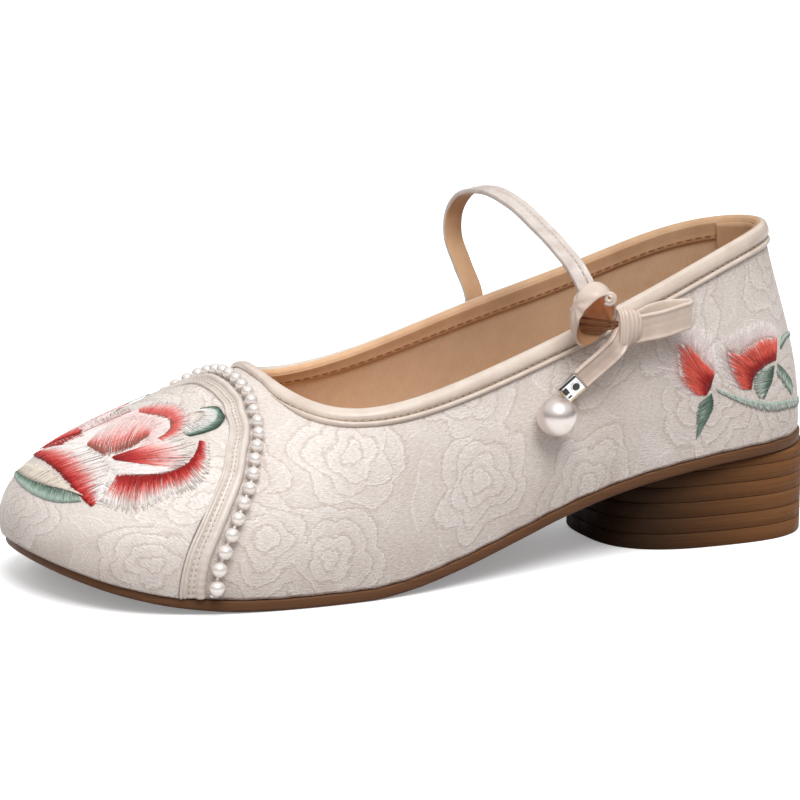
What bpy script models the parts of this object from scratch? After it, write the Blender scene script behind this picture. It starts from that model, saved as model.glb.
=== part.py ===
# Left hanfu shoe: low-cut cloth shoe with an embroidered toe cap, a string of pearls along it,
# an ankle strap that ends in a bow, and a low block heel turned with level grooves.
# Metres, +Z up, toe towards -X, outer side of the foot towards -Y, standing on z = 0.

import math
from collections import namedtuple

import bmesh
import bpy
import numpy as np
from mathutils import Matrix, Vector

# Driving dimensions in millimetres
MM = 0.001
CENTRE_S = 122.3            # place along the shoe, from the toe tip, that stands on the origin
CENTRE_Y = -0.35            # sideways place that stands on the origin
GAP = 0.3                   # air between pieces that meet
SOLE_THICKNESS = 3.2
SOLE_MARGIN = 0.8           # the sole's edge past the upper
TOE_MARGIN = 0.1            # the same at the toe tip
TOE_MARGIN_REACH = 18.0
SOLE_ROLL = 1.2             # lower edge drawn in under the shoe
INSOLE_THICKNESS = 2.4
WALL = 2.0                  # cloth, stiffener and lining together
HEEL_CENTRE = 210.6
HEEL_HALF_LENGTH = 33.9
HEEL_HALF_WIDTH = 26.3
HEEL_BLUNTNESS = 2.8        # 2 is an ellipse, more is squarer
LAYER_HEIGHT = 4.65         # one turned step of the heel
LAYER_COUNT = 6
GROOVE_DEPTH = 0.7
GROOVE_HALF_WIDTH = 0.4
CAP_THICKNESS = 0.9
CAP_GAP = 0.5               # air under the cap's two curved faces
CAP_BINDING_WIDTH = 5.5     # over the vamp
CAP_BINDING_FLARE = 1.5     # wider by this at the sole
PEARL_RADIUS_TOP = 1.8
PEARL_RADIUS_SOLE = 2.35
PEARL_SPACE = 0.75          # bare string between two pearls
PEARL_LOWEST = 0.15         # share of the rib below which the string is bare
COLLAR_BINDING_HEIGHT = 3.6
COLLAR_BINDING_AT_THROAT = 2.2
COLLAR_BINDING_INSIDE = 3.4
COLLAR_BINDING_THICKNESS = 0.7
PIPING_HEIGHT = 1.8
PIPING_THICKNESS = 1.0
PIPING_END_RIB = 2.15       # the piping stops at the pearls
STRAP_WIDTH = 5.8
RIBBON_THICKNESS = 1.5
RIBBON_EDGE = 0.7           # share of its thickness that a ribbon keeps at its edges
TAIL_PEARL_RADIUS = 5.8
SHARP_ANGLE = math.radians(40)

# Ribs of the upper, from the toe centre round the outer side to the heel and back by the inner side.
# A rib is a Bezier curve from the foot line to the collar: it leaves the sole by rise and flare and
# comes to the collar by drop and spread.
Rib = namedtuple("Rib", "foot_s foot_y collar_s collar_y collar_z rise flare drop spread")
RIBS = [
    Rib(1.9, 6.0, 71.8, 2.5, 58.0, 22, 4.8, 17, 40),        # toe centre
    Rib(5.3, -12.0, 72.6, -5.4, 56.7, 22, 5.0, 16, 37),     # outer toe
    Rib(19.0, -30.5, 74.8, -13.6, 54.5, 21, 5.5, 14, 32),
    Rib(45.0, -41.0, 80.8, -22.4, 51.6, 19, 4.0, 13, 22),   # little toe
    Rib(77.0, -44.0, 93.0, -30.0, 50.8, 18, 3.0, 13, 14),   # outer ball
    Rib(112.0, -41.2, 116.0, -31.5, 55.2, 18, 2.0, 16, 8),
    Rib(148.0, -35.5, 148.0, -29.5, 65.0, 17, 2.5, 20, 5),  # outer waist
    Rib(182.0, -30.4, 180.0, -26.5, 76.2, 18, 2.0, 22, 4.5),
    Rib(212.0, -28.2, 208.0, -21.5, 86.3, 20, 1.2, 22, 4.5),
    Rib(235.3, -20.6, 225.8, -12.5, 90.4, 22, 1.0, 22, 4.5),
    Rib(243.8, 0.0, 232.6, 0.0, 90.9, 24, 0.8, 22, 4.5),    # back of the heel
    Rib(235.3, 20.0, 225.8, 12.5, 89.3, 22, 1.0, 22, 4.5),
    Rib(212.0, 26.8, 208.0, 21.5, 84.1, 20, 1.2, 22, 4.5),
    Rib(182.0, 27.6, 180.0, 24.0, 75.0, 18, 2.0, 22, 4.5),
    Rib(148.0, 28.0, 148.0, 25.5, 65.6, 17, 3.0, 20, 5),    # inner waist
    Rib(112.0, 33.5, 116.0, 28.5, 55.0, 18, 2.5, 16, 8),
    Rib(77.0, 40.0, 93.0, 28.5, 51.0, 19, 3.0, 13, 14),     # inner ball
    Rib(45.0, 41.0, 80.8, 23.6, 52.6, 20, 4.0, 13, 22),     # big toe
    Rib(19.0, 34.5, 74.8, 17.0, 55.4, 21, 5.5, 13, 34),
    Rib(5.3, 21.5, 72.6, 10.0, 57.4, 22, 5.0, 15, 39),      # inner toe
]
RIB_COUNT = len(RIBS)
HEEL_RIB = RIB_COUNT // 2

# Height of the outsole's upper face: toe spring, flat tread at the ball, arch, heel seat
Level = namedtuple("Level", "s height")
SOLE_TOP = [
    Level(0.0, 14.6), Level(8.0, 11.6), Level(20.0, 8.0), Level(35.0, 5.0), Level(50.0, 3.5),
    Level(62.0, 3.2), Level(88.0, 3.2), Level(100.0, 4.5), Level(116.0, 8.1), Level(137.0, 14.3),
    Level(154.0, 19.4), Level(172.0, 23.5), Level(192.0, 26.7), Level(212.0, 28.9), Level(246.0, 30.6),
]

# Edge of the toe cap from the outer foot line over the vamp to the inner one, as rib and share of the rib
CapEdge = namedtuple("CapEdge", "rib share")
CAP_OUTER_RIB = 2.6
CAP_INNER_RIB = -2.5
CAP_CORNER_SHARE = 0.38
CAP_EDGE = [
    CapEdge(CAP_OUTER_RIB, 0.0), CapEdge(CAP_OUTER_RIB, 0.2), CapEdge(CAP_OUTER_RIB, CAP_CORNER_SHARE),
    CapEdge(2.52, 0.56), CapEdge(2.23, 0.72), CapEdge(1.53, 0.84), CapEdge(0.8, 0.874), CapEdge(0.0, 0.882),
    CapEdge(-0.6, 0.874), CapEdge(-1.15, 0.845), CapEdge(-1.55, 0.78), CapEdge(-1.95, 0.68),
    CapEdge(-2.3, 0.54), CapEdge(CAP_INNER_RIB, CAP_CORNER_SHARE), CapEdge(CAP_INNER_RIB, 0.2),
    CapEdge(CAP_INNER_RIB, 0.0),
]

# Ankle strap, along its middle: from outside the inner collar, over the instep, down behind the bow
Stop = namedtuple("Stop", "s y z")
STRAP_ROUTE = [
    Stop(154.4, 28.7, 63.4), Stop(153.9, 28.8, 68.2), Stop(151.7, 32.5, 77.3), Stop(150.0, 35.6, 85.3),
    Stop(149.8, 34.6, 92.6), Stop(150.7, 30.4, 98.0), Stop(153.0, 19.4, 101.2), Stop(155.2, 6.5, 99.4),
    Stop(156.1, -7.5, 95.3), Stop(157.0, -19.5, 90.8), Stop(158.7, -27.6, 85.4), Stop(161.0, -31.2, 78.0),
    Stop(162.0, -31.8, 71.0), Stop(162.2, -31.8, 66.4),
]
STRAP_ACROSS = (0.99, 0.0, 0.14)     # the strap leans a little with the slope of the instep
LOOP_ROUTE = [               # flat loop of the bow: front layer, fold, back layer
    Stop(175.0, -37.6, 69.8), Stop(181.0, -37.9, 70.6), Stop(187.0, -37.2, 71.7), Stop(190.6, -36.0, 72.2),
    Stop(191.6, -34.6, 72.4), Stop(190.4, -33.2, 72.3), Stop(186.0, -32.4, 72.2), Stop(180.5, -32.8, 71.7),
    Stop(175.2, -34.2, 70.4),
]
LOOP_WIDTH = 8.2
LOOP_THICKNESS = 1.1
TAIL_ROUTE = [
    Stop(164.9, -40.4, 65.6), Stop(162.9, -39.6, 63.5), Stop(160.3, -38.6, 60.9), Stop(157.6, -37.7, 58.4),
    Stop(155.4, -37.2, 56.4),
]
TAIL_WIDTH = 6.4
CLASP_LENGTH = 6.6
CLASP_WIDTH = 5.6
CLASP_THICKNESS = 2.0
CLASP_BEVEL = 0.4
TAIL_PEARL_CENTRE = Stop(146.4, -40.9, 47.2)
PUFF_CENTRE = Stop(158.3, -39.2, 74.4)
PUFF_RADII = Stop(7.1, 6.3, 10.0)
PUFF_MOUTH = Vector((0.62, -0.42, -0.66))      # way that the open side of the puffed loop faces
PUFF_COVER = math.radians(124)
PUFF_WALL = 1.1

KnotSection = namedtuple("KnotSection", "s y z half_depth half_height")
KNOT_SECTIONS = [
    KnotSection(166.2, -38.0, 69.7, 2.4, 5.6), KnotSection(167.6, -37.9, 69.8, 3.0, 6.3),
    KnotSection(170.2, -37.3, 70.1, 3.0, 5.6), KnotSection(172.8, -36.7, 70.2, 2.8, 4.6),
    KnotSection(174.4, -36.2, 70.2, 2.2, 3.8),
]

# Colours as sRGB, from the photograph
Finish = namedtuple("Finish", "colour roughness metallic")
SATIN = Finish("EBDDD3", 0.45, 0.0)
BINDING = Finish("EFDCC6", 0.4, 0.0)
SOLE_BROWN = Finish("7A5236", 0.5, 0.0)
HEEL_BROWN = Finish("5F412C", 0.45, 0.0)
INSOLE_TAN = Finish("B98E68", 0.7, 0.0)
PEARL = Finish("F1ECE6", 0.15, 0.0)
STEEL = Finish("C9C9C8", 0.12, 1.0)


# Curves through tables

def closed_spline(values, where):
    # cubic spline through equally spaced values that joins up with its own start
    values = np.asarray(values, dtype=float)
    count = len(values)
    system = 4.0 * np.eye(count) + np.roll(np.eye(count), 1, axis=1) + np.roll(np.eye(count), -1, axis=1)
    bend = np.linalg.solve(system, 6.0 * (np.roll(values, 1) - 2.0 * values + np.roll(values, -1)))
    low = np.floor(where).astype(int) % count
    high = (low + 1) % count
    ahead = where - np.floor(where)
    back = 1.0 - ahead
    straight = back * values[low] + ahead * values[high]
    return straight + ((back ** 3 - back) * bend[low] + (ahead ** 3 - ahead) * bend[high]) / 6.0


def steady_curve(table, where):
    # smooth curve through rows that never swings past them
    place, value = np.array(table, dtype=float).T
    width = np.diff(place)
    slope = np.diff(value) / width
    lean = np.zeros(len(place))
    lean[0], lean[-1] = slope[0], slope[-1]
    for row in range(1, len(place) - 1):
        before, after = slope[row - 1], slope[row]
        if before * after > 0.0:
            weight_before = 2.0 * width[row] + width[row - 1]
            weight_after = width[row] + 2.0 * width[row - 1]
            lean[row] = (weight_before + weight_after) / (weight_before / before + weight_after / after)
    where = np.clip(where, place[0], place[-1])
    row = np.clip(np.searchsorted(place, where, side="right") - 1, 0, len(width) - 1)
    t = (where - place[row]) / width[row]
    start = (1.0 + 2.0 * t) * (1.0 - t) ** 2 * value[row] + t * (1.0 - t) ** 2 * width[row] * lean[row]
    end = t * t * (3.0 - 2.0 * t) * value[row + 1] + t * t * (t - 1.0) * width[row] * lean[row + 1]
    return start + end


def smooth_route(stops, count):
    # evenly spaced points on a flowing curve through a few stops
    stops = np.array(stops, dtype=float)
    chord = np.concatenate(([0.0], np.cumsum(np.linalg.norm(np.diff(stops, axis=0), axis=1))))
    lean = np.gradient(stops, chord, axis=0)
    fine = np.linspace(0.0, chord[-1], 20 * count)
    row = np.clip(np.searchsorted(chord, fine, side="right") - 1, 0, len(chord) - 2)
    width = np.diff(chord)[row][:, None]
    t = (fine - chord[row])[:, None] / width
    curve = ((1.0 + 2.0 * t) * (1.0 - t) ** 2 * stops[row] + t * (1.0 - t) ** 2 * width * lean[row]
             + t * t * (3.0 - 2.0 * t) * stops[row + 1] + t * t * (t - 1.0) * width * lean[row + 1])
    return spaced(curve, count)


def spaced(curve, count):
    # the same curve with its points at equal distances
    run = np.concatenate(([0.0], np.cumsum(np.linalg.norm(np.diff(curve, axis=0), axis=1))))
    even = np.linspace(0.0, run[-1], count)
    return np.stack([np.interp(even, run, column) for column in curve.T], axis=1)


def blend(low, high, x):
    t = np.clip((x - low) / (high - low), 0.0, 1.0)
    return t * t * (3.0 - 2.0 * t)


def unit(vectors):
    return vectors / np.linalg.norm(vectors, axis=-1, keepdims=True)


# The last: sole heights, foot line and the surface of the upper

def sole_top(s):
    return steady_curve(SOLE_TOP, s)


def sole_bottom(s):
    return sole_top(s) - SOLE_THICKNESS


def rib_column(column, rib):
    return closed_spline([getattr(row, column) for row in RIBS], rib)


def foot_line(rib, margin=0.0):
    # the line where upper and sole meet, seen from above, moved out sideways by a margin
    nudge = 0.01
    rib = np.asarray(rib, dtype=float)
    s, y = rib_column("foot_s", rib), rib_column("foot_y", rib)
    ahead_s = rib_column("foot_s", rib + nudge) - rib_column("foot_s", rib - nudge)
    ahead_y = rib_column("foot_y", rib + nudge) - rib_column("foot_y", rib - nudge)
    length = np.hypot(ahead_s, ahead_y)
    return s + margin * ahead_y / length, y - margin * ahead_s / length


def upper_point(rib, share):
    # point of the upper's outer face, by rib number and share of the way from foot line to collar
    rib, share = np.broadcast_arrays(np.asarray(rib, dtype=float), np.asarray(share, dtype=float))
    foot_s, foot_y = foot_line(rib)
    collar_s, collar_y = rib_column("collar_s", rib), rib_column("collar_y", rib)
    foot = np.stack([foot_s, foot_y, sole_top(foot_s) + GAP], axis=-1)
    collar = np.stack([collar_s, collar_y, rib_column("collar_z", rib)], axis=-1)
    out_s, out_y = foot_line(rib, 1.0)
    outward = np.stack([out_s - foot_s, out_y - foot_y, np.zeros_like(foot_s)], axis=-1)
    inward_run = foot - collar
    inward_run[..., 2] = 0.0
    upward = np.array([0.0, 0.0, 1.0])
    leave = foot + rib_column("rise", rib)[..., None] * upward + rib_column("flare", rib)[..., None] * outward
    arrive = (collar - rib_column("drop", rib)[..., None] * upward
              + rib_column("spread", rib)[..., None] * unit(inward_run))
    t = share[..., None]
    return ((1 - t) ** 3 * foot + 3 * t * (1 - t) ** 2 * leave
            + 3 * t * t * (1 - t) * arrive + t ** 3 * collar)


def upper_slopes(rib, share):
    # change of the surface point with the rib number and with the share
    nudge = 0.002
    share = np.asarray(share, dtype=float)
    low, high = np.clip(share - nudge, 0.0, 1.0), np.clip(share + nudge, 0.0, 1.0)
    along = (upper_point(rib + nudge, share) - upper_point(rib - nudge, share)) / (2.0 * nudge)
    up = (upper_point(rib, high) - upper_point(rib, low)) / (high - low)[..., None]
    return along, up


def above_upper(rib, share, height):
    # point at a height over the upper's outer face
    along, up = upper_slopes(rib, share)
    return upper_point(rib, share) + np.asarray(height)[..., None] * unit(np.cross(along, up))


# Objects

def new_collection(name):
    collection = bpy.data.collections.new(name)
    bpy.context.scene.collection.children.link(collection)
    return collection


def linear(channel):
    return channel / 12.92 if channel <= 0.04045 else ((channel + 0.055) / 1.055) ** 2.4


def finish(obj, look):
    material = bpy.data.materials.new(obj.name)
    material.use_nodes = True
    shader = material.node_tree.nodes["Principled BSDF"]
    channels = [int(look.colour[start:start + 2], 16) / 255.0 for start in (0, 2, 4)]
    shader.inputs["Base Color"].default_value = [linear(channel) for channel in channels] + [1.0]
    shader.inputs["Roughness"].default_value = look.roughness
    shader.inputs["Metallic"].default_value = look.metallic
    obj.data.materials.append(material)
    shoe_parts.objects.link(obj)
    return obj


def to_world(points):
    return (np.asarray(points, dtype=float) - [CENTRE_S, CENTRE_Y, 0.0]) * MM


def mesh_object(name, points, faces, look):
    mesh = bpy.data.meshes.new(name)
    mesh.from_pydata(to_world(points).reshape(-1, 3).tolist(), [], faces)
    mesh.validate()
    mesh.update()
    mesh.shade_smooth()
    mesh.set_sharp_from_angle(angle=SHARP_ANGLE)
    return finish(bpy.data.objects.new(name, mesh), look)


def grid_faces(rows, columns, closed):
    # quads between neighbouring points of a grid, whose last column may join its first
    faces = []
    for row in range(rows - 1):
        for column in range(columns if closed else columns - 1):
            beside = (column + 1) % columns
            faces.append((row * columns + column, row * columns + beside,
                          (row + 1) * columns + beside, (row + 1) * columns + column))
    return faces


def shell(name, points, closed, thickness, look):
    # open surface with a wall of one thickness on its inner side
    rows, columns = points.shape[:2]
    obj = mesh_object(name, points, grid_faces(rows, columns, closed), look)
    wall = obj.modifiers.new("wall", "SOLIDIFY")
    wall.thickness = thickness * MM
    wall.offset = -1.0
    wall.use_even_offset = True
    return obj


def loft(name, sections, look, ring=False):
    # closed body through rings of points, capped at both ends or joined into a ring
    sections = np.asarray(sections)
    count, around = sections.shape[:2]
    faces = grid_faces(count, around, True)
    if ring:
        last = (count - 1) * around
        faces += [(last + k, last + (k + 1) % around, (k + 1) % around, k) for k in range(around)]
    else:
        faces.append(tuple(reversed(range(around))))
        faces.append(tuple(range((count - 1) * around, count * around)))
    return mesh_object(name, sections, faces, look)


def slab(name, levels, look):
    # closed body of stacked outlines, each with a first half that mirrors its second half,
    # so that top and bottom close with straight rungs from side to side
    levels = np.asarray(levels)
    count, around = levels.shape[:2]
    faces = grid_faces(count, around, True)
    top = (count - 1) * around
    for k in range(around // 2 - 1):
        other = around - 1 - k
        faces.append((k + 1, k, other, other - 1))
        faces.append((top + k, top + k + 1, top + other - 1, top + other))
    return mesh_object(name, levels, faces, look)


def ribbon(name, middle, across, width, thickness, look):
    # flat band along a line, its face turned by the direction that lies across it
    forward = unit(np.gradient(middle, axis=0))
    across = np.broadcast_to(np.asarray(across, dtype=float), middle.shape)
    across = unit(across - (across * forward).sum(axis=1, keepdims=True) * forward)
    normal = np.cross(forward, across)
    half, crown = width / 2.0, thickness / 2.0
    edge = RIBBON_EDGE * crown
    section = [(-half, -edge), (0.0, -crown), (half, -edge), (half, edge), (0.0, crown), (-half, edge)]
    rings = np.stack([middle + a * across + n * normal for a, n in section], axis=1)
    return loft(name, rings, look)


# Sole, heel and insole

def half_ribs(count):
    # rib numbers round the foot line, close together at toe and heel, mirrored about the middle line
    tip = 0.03
    turn = np.linspace(0.0, math.pi, count)
    outer = tip + (HEEL_RIB - 2.0 * tip) * (1.0 - np.cos(turn)) / 2.0
    return np.concatenate([outer, RIB_COUNT - outer[::-1]])


def sole_margin(rib):
    toe = np.exp(-(rib_column("foot_s", rib) / TOE_MARGIN_REACH) ** 2)
    return SOLE_MARGIN + (TOE_MARGIN - SOLE_MARGIN) * toe


def sole_outline(rib, margin, height):
    s, y = foot_line(rib, margin)
    return np.stack([s, y, height(s)], axis=-1)


def build_outsole():
    ribs = half_ribs(33)
    edge = sole_margin(ribs)
    bend_in, bend_low, bend_high = 0.3 * SOLE_ROLL, 0.28, 1.12
    levels = [
        sole_outline(ribs, edge - SOLE_ROLL, sole_bottom),
        sole_outline(ribs, edge - bend_in, lambda s: sole_bottom(s) + bend_low),
        sole_outline(ribs, edge, lambda s: sole_bottom(s) + bend_high),
        sole_outline(ribs, edge, sole_top),
    ]
    slab("outsole", levels, SOLE_BROWN)


def build_insole():
    ribs = half_ribs(26)
    inset = -(WALL + 2.0 * GAP)
    levels = [
        sole_outline(ribs, inset, lambda s: sole_top(s) + GAP),
        sole_outline(ribs, inset, lambda s: sole_top(s) + GAP + INSOLE_THICKNESS),
    ]
    slab("insole", levels, INSOLE_TAN)


def heel_outline():
    # blunt oval seen from above, from its front round the outer side to the back and home again
    tip = 0.04
    turn = np.linspace(tip, math.pi - tip, 14)
    along = np.sign(np.cos(turn)) * np.abs(np.cos(turn)) ** (2.0 / HEEL_BLUNTNESS)
    s = HEEL_CENTRE - HEEL_HALF_LENGTH * along
    aside = HEEL_HALF_WIDTH * np.sin(turn) ** (2.0 / HEEL_BLUNTNESS)
    return np.concatenate([np.stack([s, -aside], axis=1), np.stack([s, aside], axis=1)[::-1]])


def build_heel():
    outline = heel_outline()
    ahead = np.roll(outline, -1, axis=0) - np.roll(outline, 1, axis=0)
    inward = unit(np.stack([-ahead[:, 1], ahead[:, 0]], axis=1))
    top = sole_bottom(outline[:, 0]) - GAP
    bevel = 0.5
    steps = [(0.0, bevel), (bevel, 0.0)]
    for layer in range(1, LAYER_COUNT):
        middle = layer * LAYER_HEIGHT
        steps += [(middle - GROOVE_HALF_WIDTH, 0.0), (middle, GROOVE_DEPTH), (middle + GROOVE_HALF_WIDTH, 0.0)]
    levels = []
    sliver = 0.06
    for number, (height, depth) in enumerate(steps):
        # the top groove runs out where the seat slopes down to it
        ceiling = top - sliver * (len(steps) - number)
        room = np.clip((top - height) / (2.0 * GROOVE_HALF_WIDTH), 0.0, 1.0)[:, None]
        ring = outline + depth * room * inward
        levels.append(np.column_stack([ring, np.minimum(height, ceiling)]))
    levels.append(np.column_stack([outline, top]))
    slab("heel", levels, HEEL_BROWN)


# Upper, toe cap and bindings

def upper_ribs():
    # rib numbers of the upper's columns, closer together round the toe
    toe_end = 3.0
    toe = np.linspace(-toe_end, toe_end, 31)[:-1]
    sides = np.linspace(toe_end, RIB_COUNT - toe_end, 31)[:-1]
    return np.concatenate([toe, sides])


def build_upper():
    shares = np.linspace(0.0, 1.0, 16)
    shell("upper", upper_point(upper_ribs()[None, :], shares[:, None]), True, WALL, SATIN)


def cap_edge_line(count):
    # cap edge from the outer foot line over the vamp to the inner one, in ribs and shares
    fine = smooth_route(CAP_EDGE, 12 * count)
    run = upper_point(fine[:, 0], fine[:, 1])
    travelled = np.concatenate(([0.0], np.cumsum(np.linalg.norm(np.diff(run, axis=0), axis=1))))
    even = np.linspace(0.0, travelled[-1], count)
    return np.stack([np.interp(even, travelled, column) for column in fine.T], axis=1)


def beside_cap_edge(edge, distance):
    # the cap edge moved away from the cap over the upper's surface
    rib, share = edge[:, 0], edge[:, 1]
    along, up = upper_slopes(rib, share)
    line = unit(np.gradient(upper_point(rib, share), axis=0))
    away = np.cross(line, unit(np.cross(along, up))) * np.asarray(distance)[..., None]
    rib_way = (away * along).sum(axis=1)
    share_way = (away * up).sum(axis=1)
    along_along, up_up, along_up = (along ** 2).sum(axis=1), (up ** 2).sum(axis=1), (along * up).sum(axis=1)
    scale = along_along * up_up - along_up ** 2
    rib_step = (rib_way * up_up - share_way * along_up) / scale
    share_step = (share_way * along_along - rib_way * along_up) / scale
    return rib + rib_step, np.clip(share + share_step, 0.0, 1.0)


def cap_binding_width(edge):
    height = edge[:, 1] / edge[:, 1].max()
    return CAP_BINDING_WIDTH + CAP_BINDING_FLARE * (1.0 - height) ** 2


def cap_share(rib):
    # share of each rib that the toe cap covers
    line = cap_edge_line(120)
    top = line[line[:, 1] >= CAP_CORNER_SHARE][::-1]
    return np.interp(rib, top[:, 0], top[:, 1])


def build_toe_cap():
    side_gap, edge_gap, rise = 0.012, 0.004, CAP_GAP + CAP_THICKNESS
    narrowest = 0.05
    first, last = CAP_INNER_RIB + side_gap, CAP_OUTER_RIB - side_gap
    inside = [rib for rib in upper_ribs() if first + narrowest < rib < last - narrowest]
    ribs = np.array([first, *inside, last])
    shares = np.linspace(0.0, 1.0, 15)[:, None] * (cap_share(ribs) - edge_gap)[None, :]
    points = above_upper(np.broadcast_to(ribs, shares.shape), shares, np.full(shares.shape, rise))
    shell("toe_cap", points, False, CAP_THICKNESS, SATIN)


def build_toe_cap_binding():
    edge = cap_edge_line(42)
    # a flat stitched band with a roll along its outer edge
    under, flat, roll = CAP_GAP, CAP_GAP + 1.0, CAP_GAP + 1.7
    section = [(0.0, under), (0.0, flat), (0.5, flat), (0.66, roll), (0.9, roll), (1.0, flat), (1.0, under),
               (0.5, under)]
    rings = []
    for across, height in section:
        rib, share = beside_cap_edge(edge, across * cap_binding_width(edge))
        rings.append(above_upper(rib, share, np.full(len(edge), height)))
    loft("toe_cap_binding", np.stack(rings, axis=1), BINDING)


def build_toe_pearls():
    # graduated pearls along the outer edge of the cap binding, smallest at the throat
    edge = cap_edge_line(400)
    height = edge[:, 1] / edge[:, 1].max()
    radius = PEARL_RADIUS_SOLE + (PEARL_RADIUS_TOP - PEARL_RADIUS_SOLE) * height
    rib, share = beside_cap_edge(edge, cap_binding_width(edge) + GAP + radius)
    centre = above_upper(rib, share, radius + GAP)
    travelled = np.concatenate(([0.0], np.cumsum(np.linalg.norm(np.diff(centre, axis=0), axis=1))))
    apex = int(np.argmax(edge[:, 1]))
    bare_outer = travelled[:apex][share[:apex] < PEARL_LOWEST].max()
    bare_inner = travelled[apex:][share[apex:] < PEARL_LOWEST].min()
    places = [travelled[apex]]
    for way, end in ((-1.0, bare_outer), (1.0, bare_inner)):
        at = travelled[apex]
        while (end - at) * way > 0.0:
            size = np.interp(at, travelled, radius)
            at += way * (2.0 * size + PEARL_SPACE)
            places.append(at)
    for number, at in enumerate(sorted(places), 1):
        spot = [np.interp(at, travelled, column) for column in centre.T]
        build_pearl(f"toe_pearl_{number:02d}", spot, np.interp(at, travelled, radius), 8, 4)


def build_pearl(name, centre, radius, around, rows):
    mesh = bpy.data.meshes.new(name)
    pearl = bmesh.new()
    place = Matrix.Translation(Vector(to_world(centre)))
    bmesh.ops.create_uvsphere(pearl, u_segments=around, v_segments=rows, radius=radius * MM, matrix=place)
    pearl.to_mesh(mesh)
    pearl.free()
    mesh.shade_smooth()
    finish(bpy.data.objects.new(name, mesh), PEARL)


def collar_binding_height(rib):
    # narrow where the pearls pass the throat
    away = np.minimum(rib % RIB_COUNT, -rib % RIB_COUNT)
    return COLLAR_BINDING_AT_THROAT + (COLLAR_BINDING_HEIGHT - COLLAR_BINDING_AT_THROAT) * blend(1.0, 2.2, away)


def below_collar(rib, distance):
    # share of the rib that lies a distance below the collar's edge
    edge = np.ones_like(rib)
    return 1.0 - distance / np.linalg.norm(upper_slopes(rib, edge)[1], axis=-1)


def build_collar_binding():
    ribs = upper_ribs()
    edge = np.ones_like(ribs)
    outer_height = collar_binding_height(ribs)
    along, up = upper_slopes(ribs, edge)
    out, up = unit(np.cross(along, up)), unit(up)
    rim = upper_point(ribs, edge)
    near, far = GAP, GAP + COLLAR_BINDING_THICKNESS
    crown = far + 0.2
    low, middle = below_collar(ribs, outer_height), below_collar(ribs, outer_height / 2.0)
    inside = below_collar(ribs, COLLAR_BINDING_INSIDE)

    def over(share, height):
        return above_upper(ribs, share, np.full(len(ribs), height))

    def past_rim(height, rise):
        return rim + height * out + rise * up

    rings = [
        over(low, near), over(low, far), over(middle, crown), past_rim(far, near), past_rim(-WALL / 2.0, crown),
        past_rim(-WALL - far, near), over(inside, -WALL - far), past_rim(-WALL - near, near),
        past_rim(near, near),
    ]
    loft("collar_binding", np.stack(rings, axis=1)[:, ::-1], BINDING, ring=True)


def build_collar_piping():
    # flattened roll under the binding
    ribs = np.linspace(PIPING_END_RIB, RIB_COUNT - PIPING_END_RIB, 60)
    top = collar_binding_height(ribs) + GAP
    side, crest = GAP + 0.5 * PIPING_THICKNESS, GAP + PIPING_THICKNESS
    section = [(0.0, GAP), (0.0, side), (0.5, crest), (1.0, side), (1.0, GAP)]
    rings = [above_upper(ribs, below_collar(ribs, top + down * PIPING_HEIGHT), np.full(len(ribs), height))
             for down, height in section]
    loft("collar_piping", np.stack(rings, axis=1), BINDING)


# Strap, bow and pendant

def build_strap():
    ribbon("strap", smooth_route(STRAP_ROUTE, 28), STRAP_ACROSS, STRAP_WIDTH, RIBBON_THICKNESS, BINDING)


def build_bow_puff():
    # puffed loop: a hollow egg of ribbon with a wide mouth
    puff = bmesh.new()
    bmesh.ops.create_uvsphere(puff, u_segments=16, v_segments=12, radius=1.0)
    bottom = math.cos(PUFF_COVER)
    beyond = [vertex for vertex in puff.verts if vertex.co.z < bottom]
    bmesh.ops.delete(puff, geom=beyond, context="VERTS")
    turn = Vector((0.0, 0.0, 1.0)).rotation_difference(-PUFF_MOUTH)
    bmesh.ops.rotate(puff, verts=puff.verts, matrix=turn.to_matrix())
    bmesh.ops.scale(puff, verts=puff.verts, vec=Vector(PUFF_RADII) * MM)
    bmesh.ops.translate(puff, verts=puff.verts, vec=Vector(to_world(PUFF_CENTRE)))
    mesh = bpy.data.meshes.new("bow_puffed_loop")
    puff.to_mesh(mesh)
    puff.free()
    mesh.shade_smooth()
    obj = finish(bpy.data.objects.new("bow_puffed_loop", mesh), BINDING)
    wall = obj.modifiers.new("wall", "SOLIDIFY")
    wall.thickness = PUFF_WALL * MM
    wall.offset = -1.0


def build_bow_knot():
    turn = np.linspace(0.0, 2.0 * math.pi, 17)[:-1]
    rings = [np.stack([np.full(16, row.s), row.y + row.half_depth * np.cos(turn),
                       row.z + row.half_height * np.sin(turn)], axis=1) for row in KNOT_SECTIONS]
    loft("bow_knot", np.array(rings), BINDING)


def build_bow_flat_loop():
    ribbon("bow_flat_loop", smooth_route(LOOP_ROUTE, 21), (0.0, 0.0, 1.0), LOOP_WIDTH, LOOP_THICKNESS, BINDING)


def tail_frame():
    route = np.array(TAIL_ROUTE)
    forward = unit(route[-1] - route[-2])
    across = unit(np.cross(forward, [0.0, -1.0, 0.0]))
    return route[-1], forward, across


def build_bow_tail():
    across = tail_frame()[2]
    ribbon("bow_tail", smooth_route(TAIL_ROUTE, 10), across, TAIL_WIDTH, RIBBON_THICKNESS, BINDING)


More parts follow.
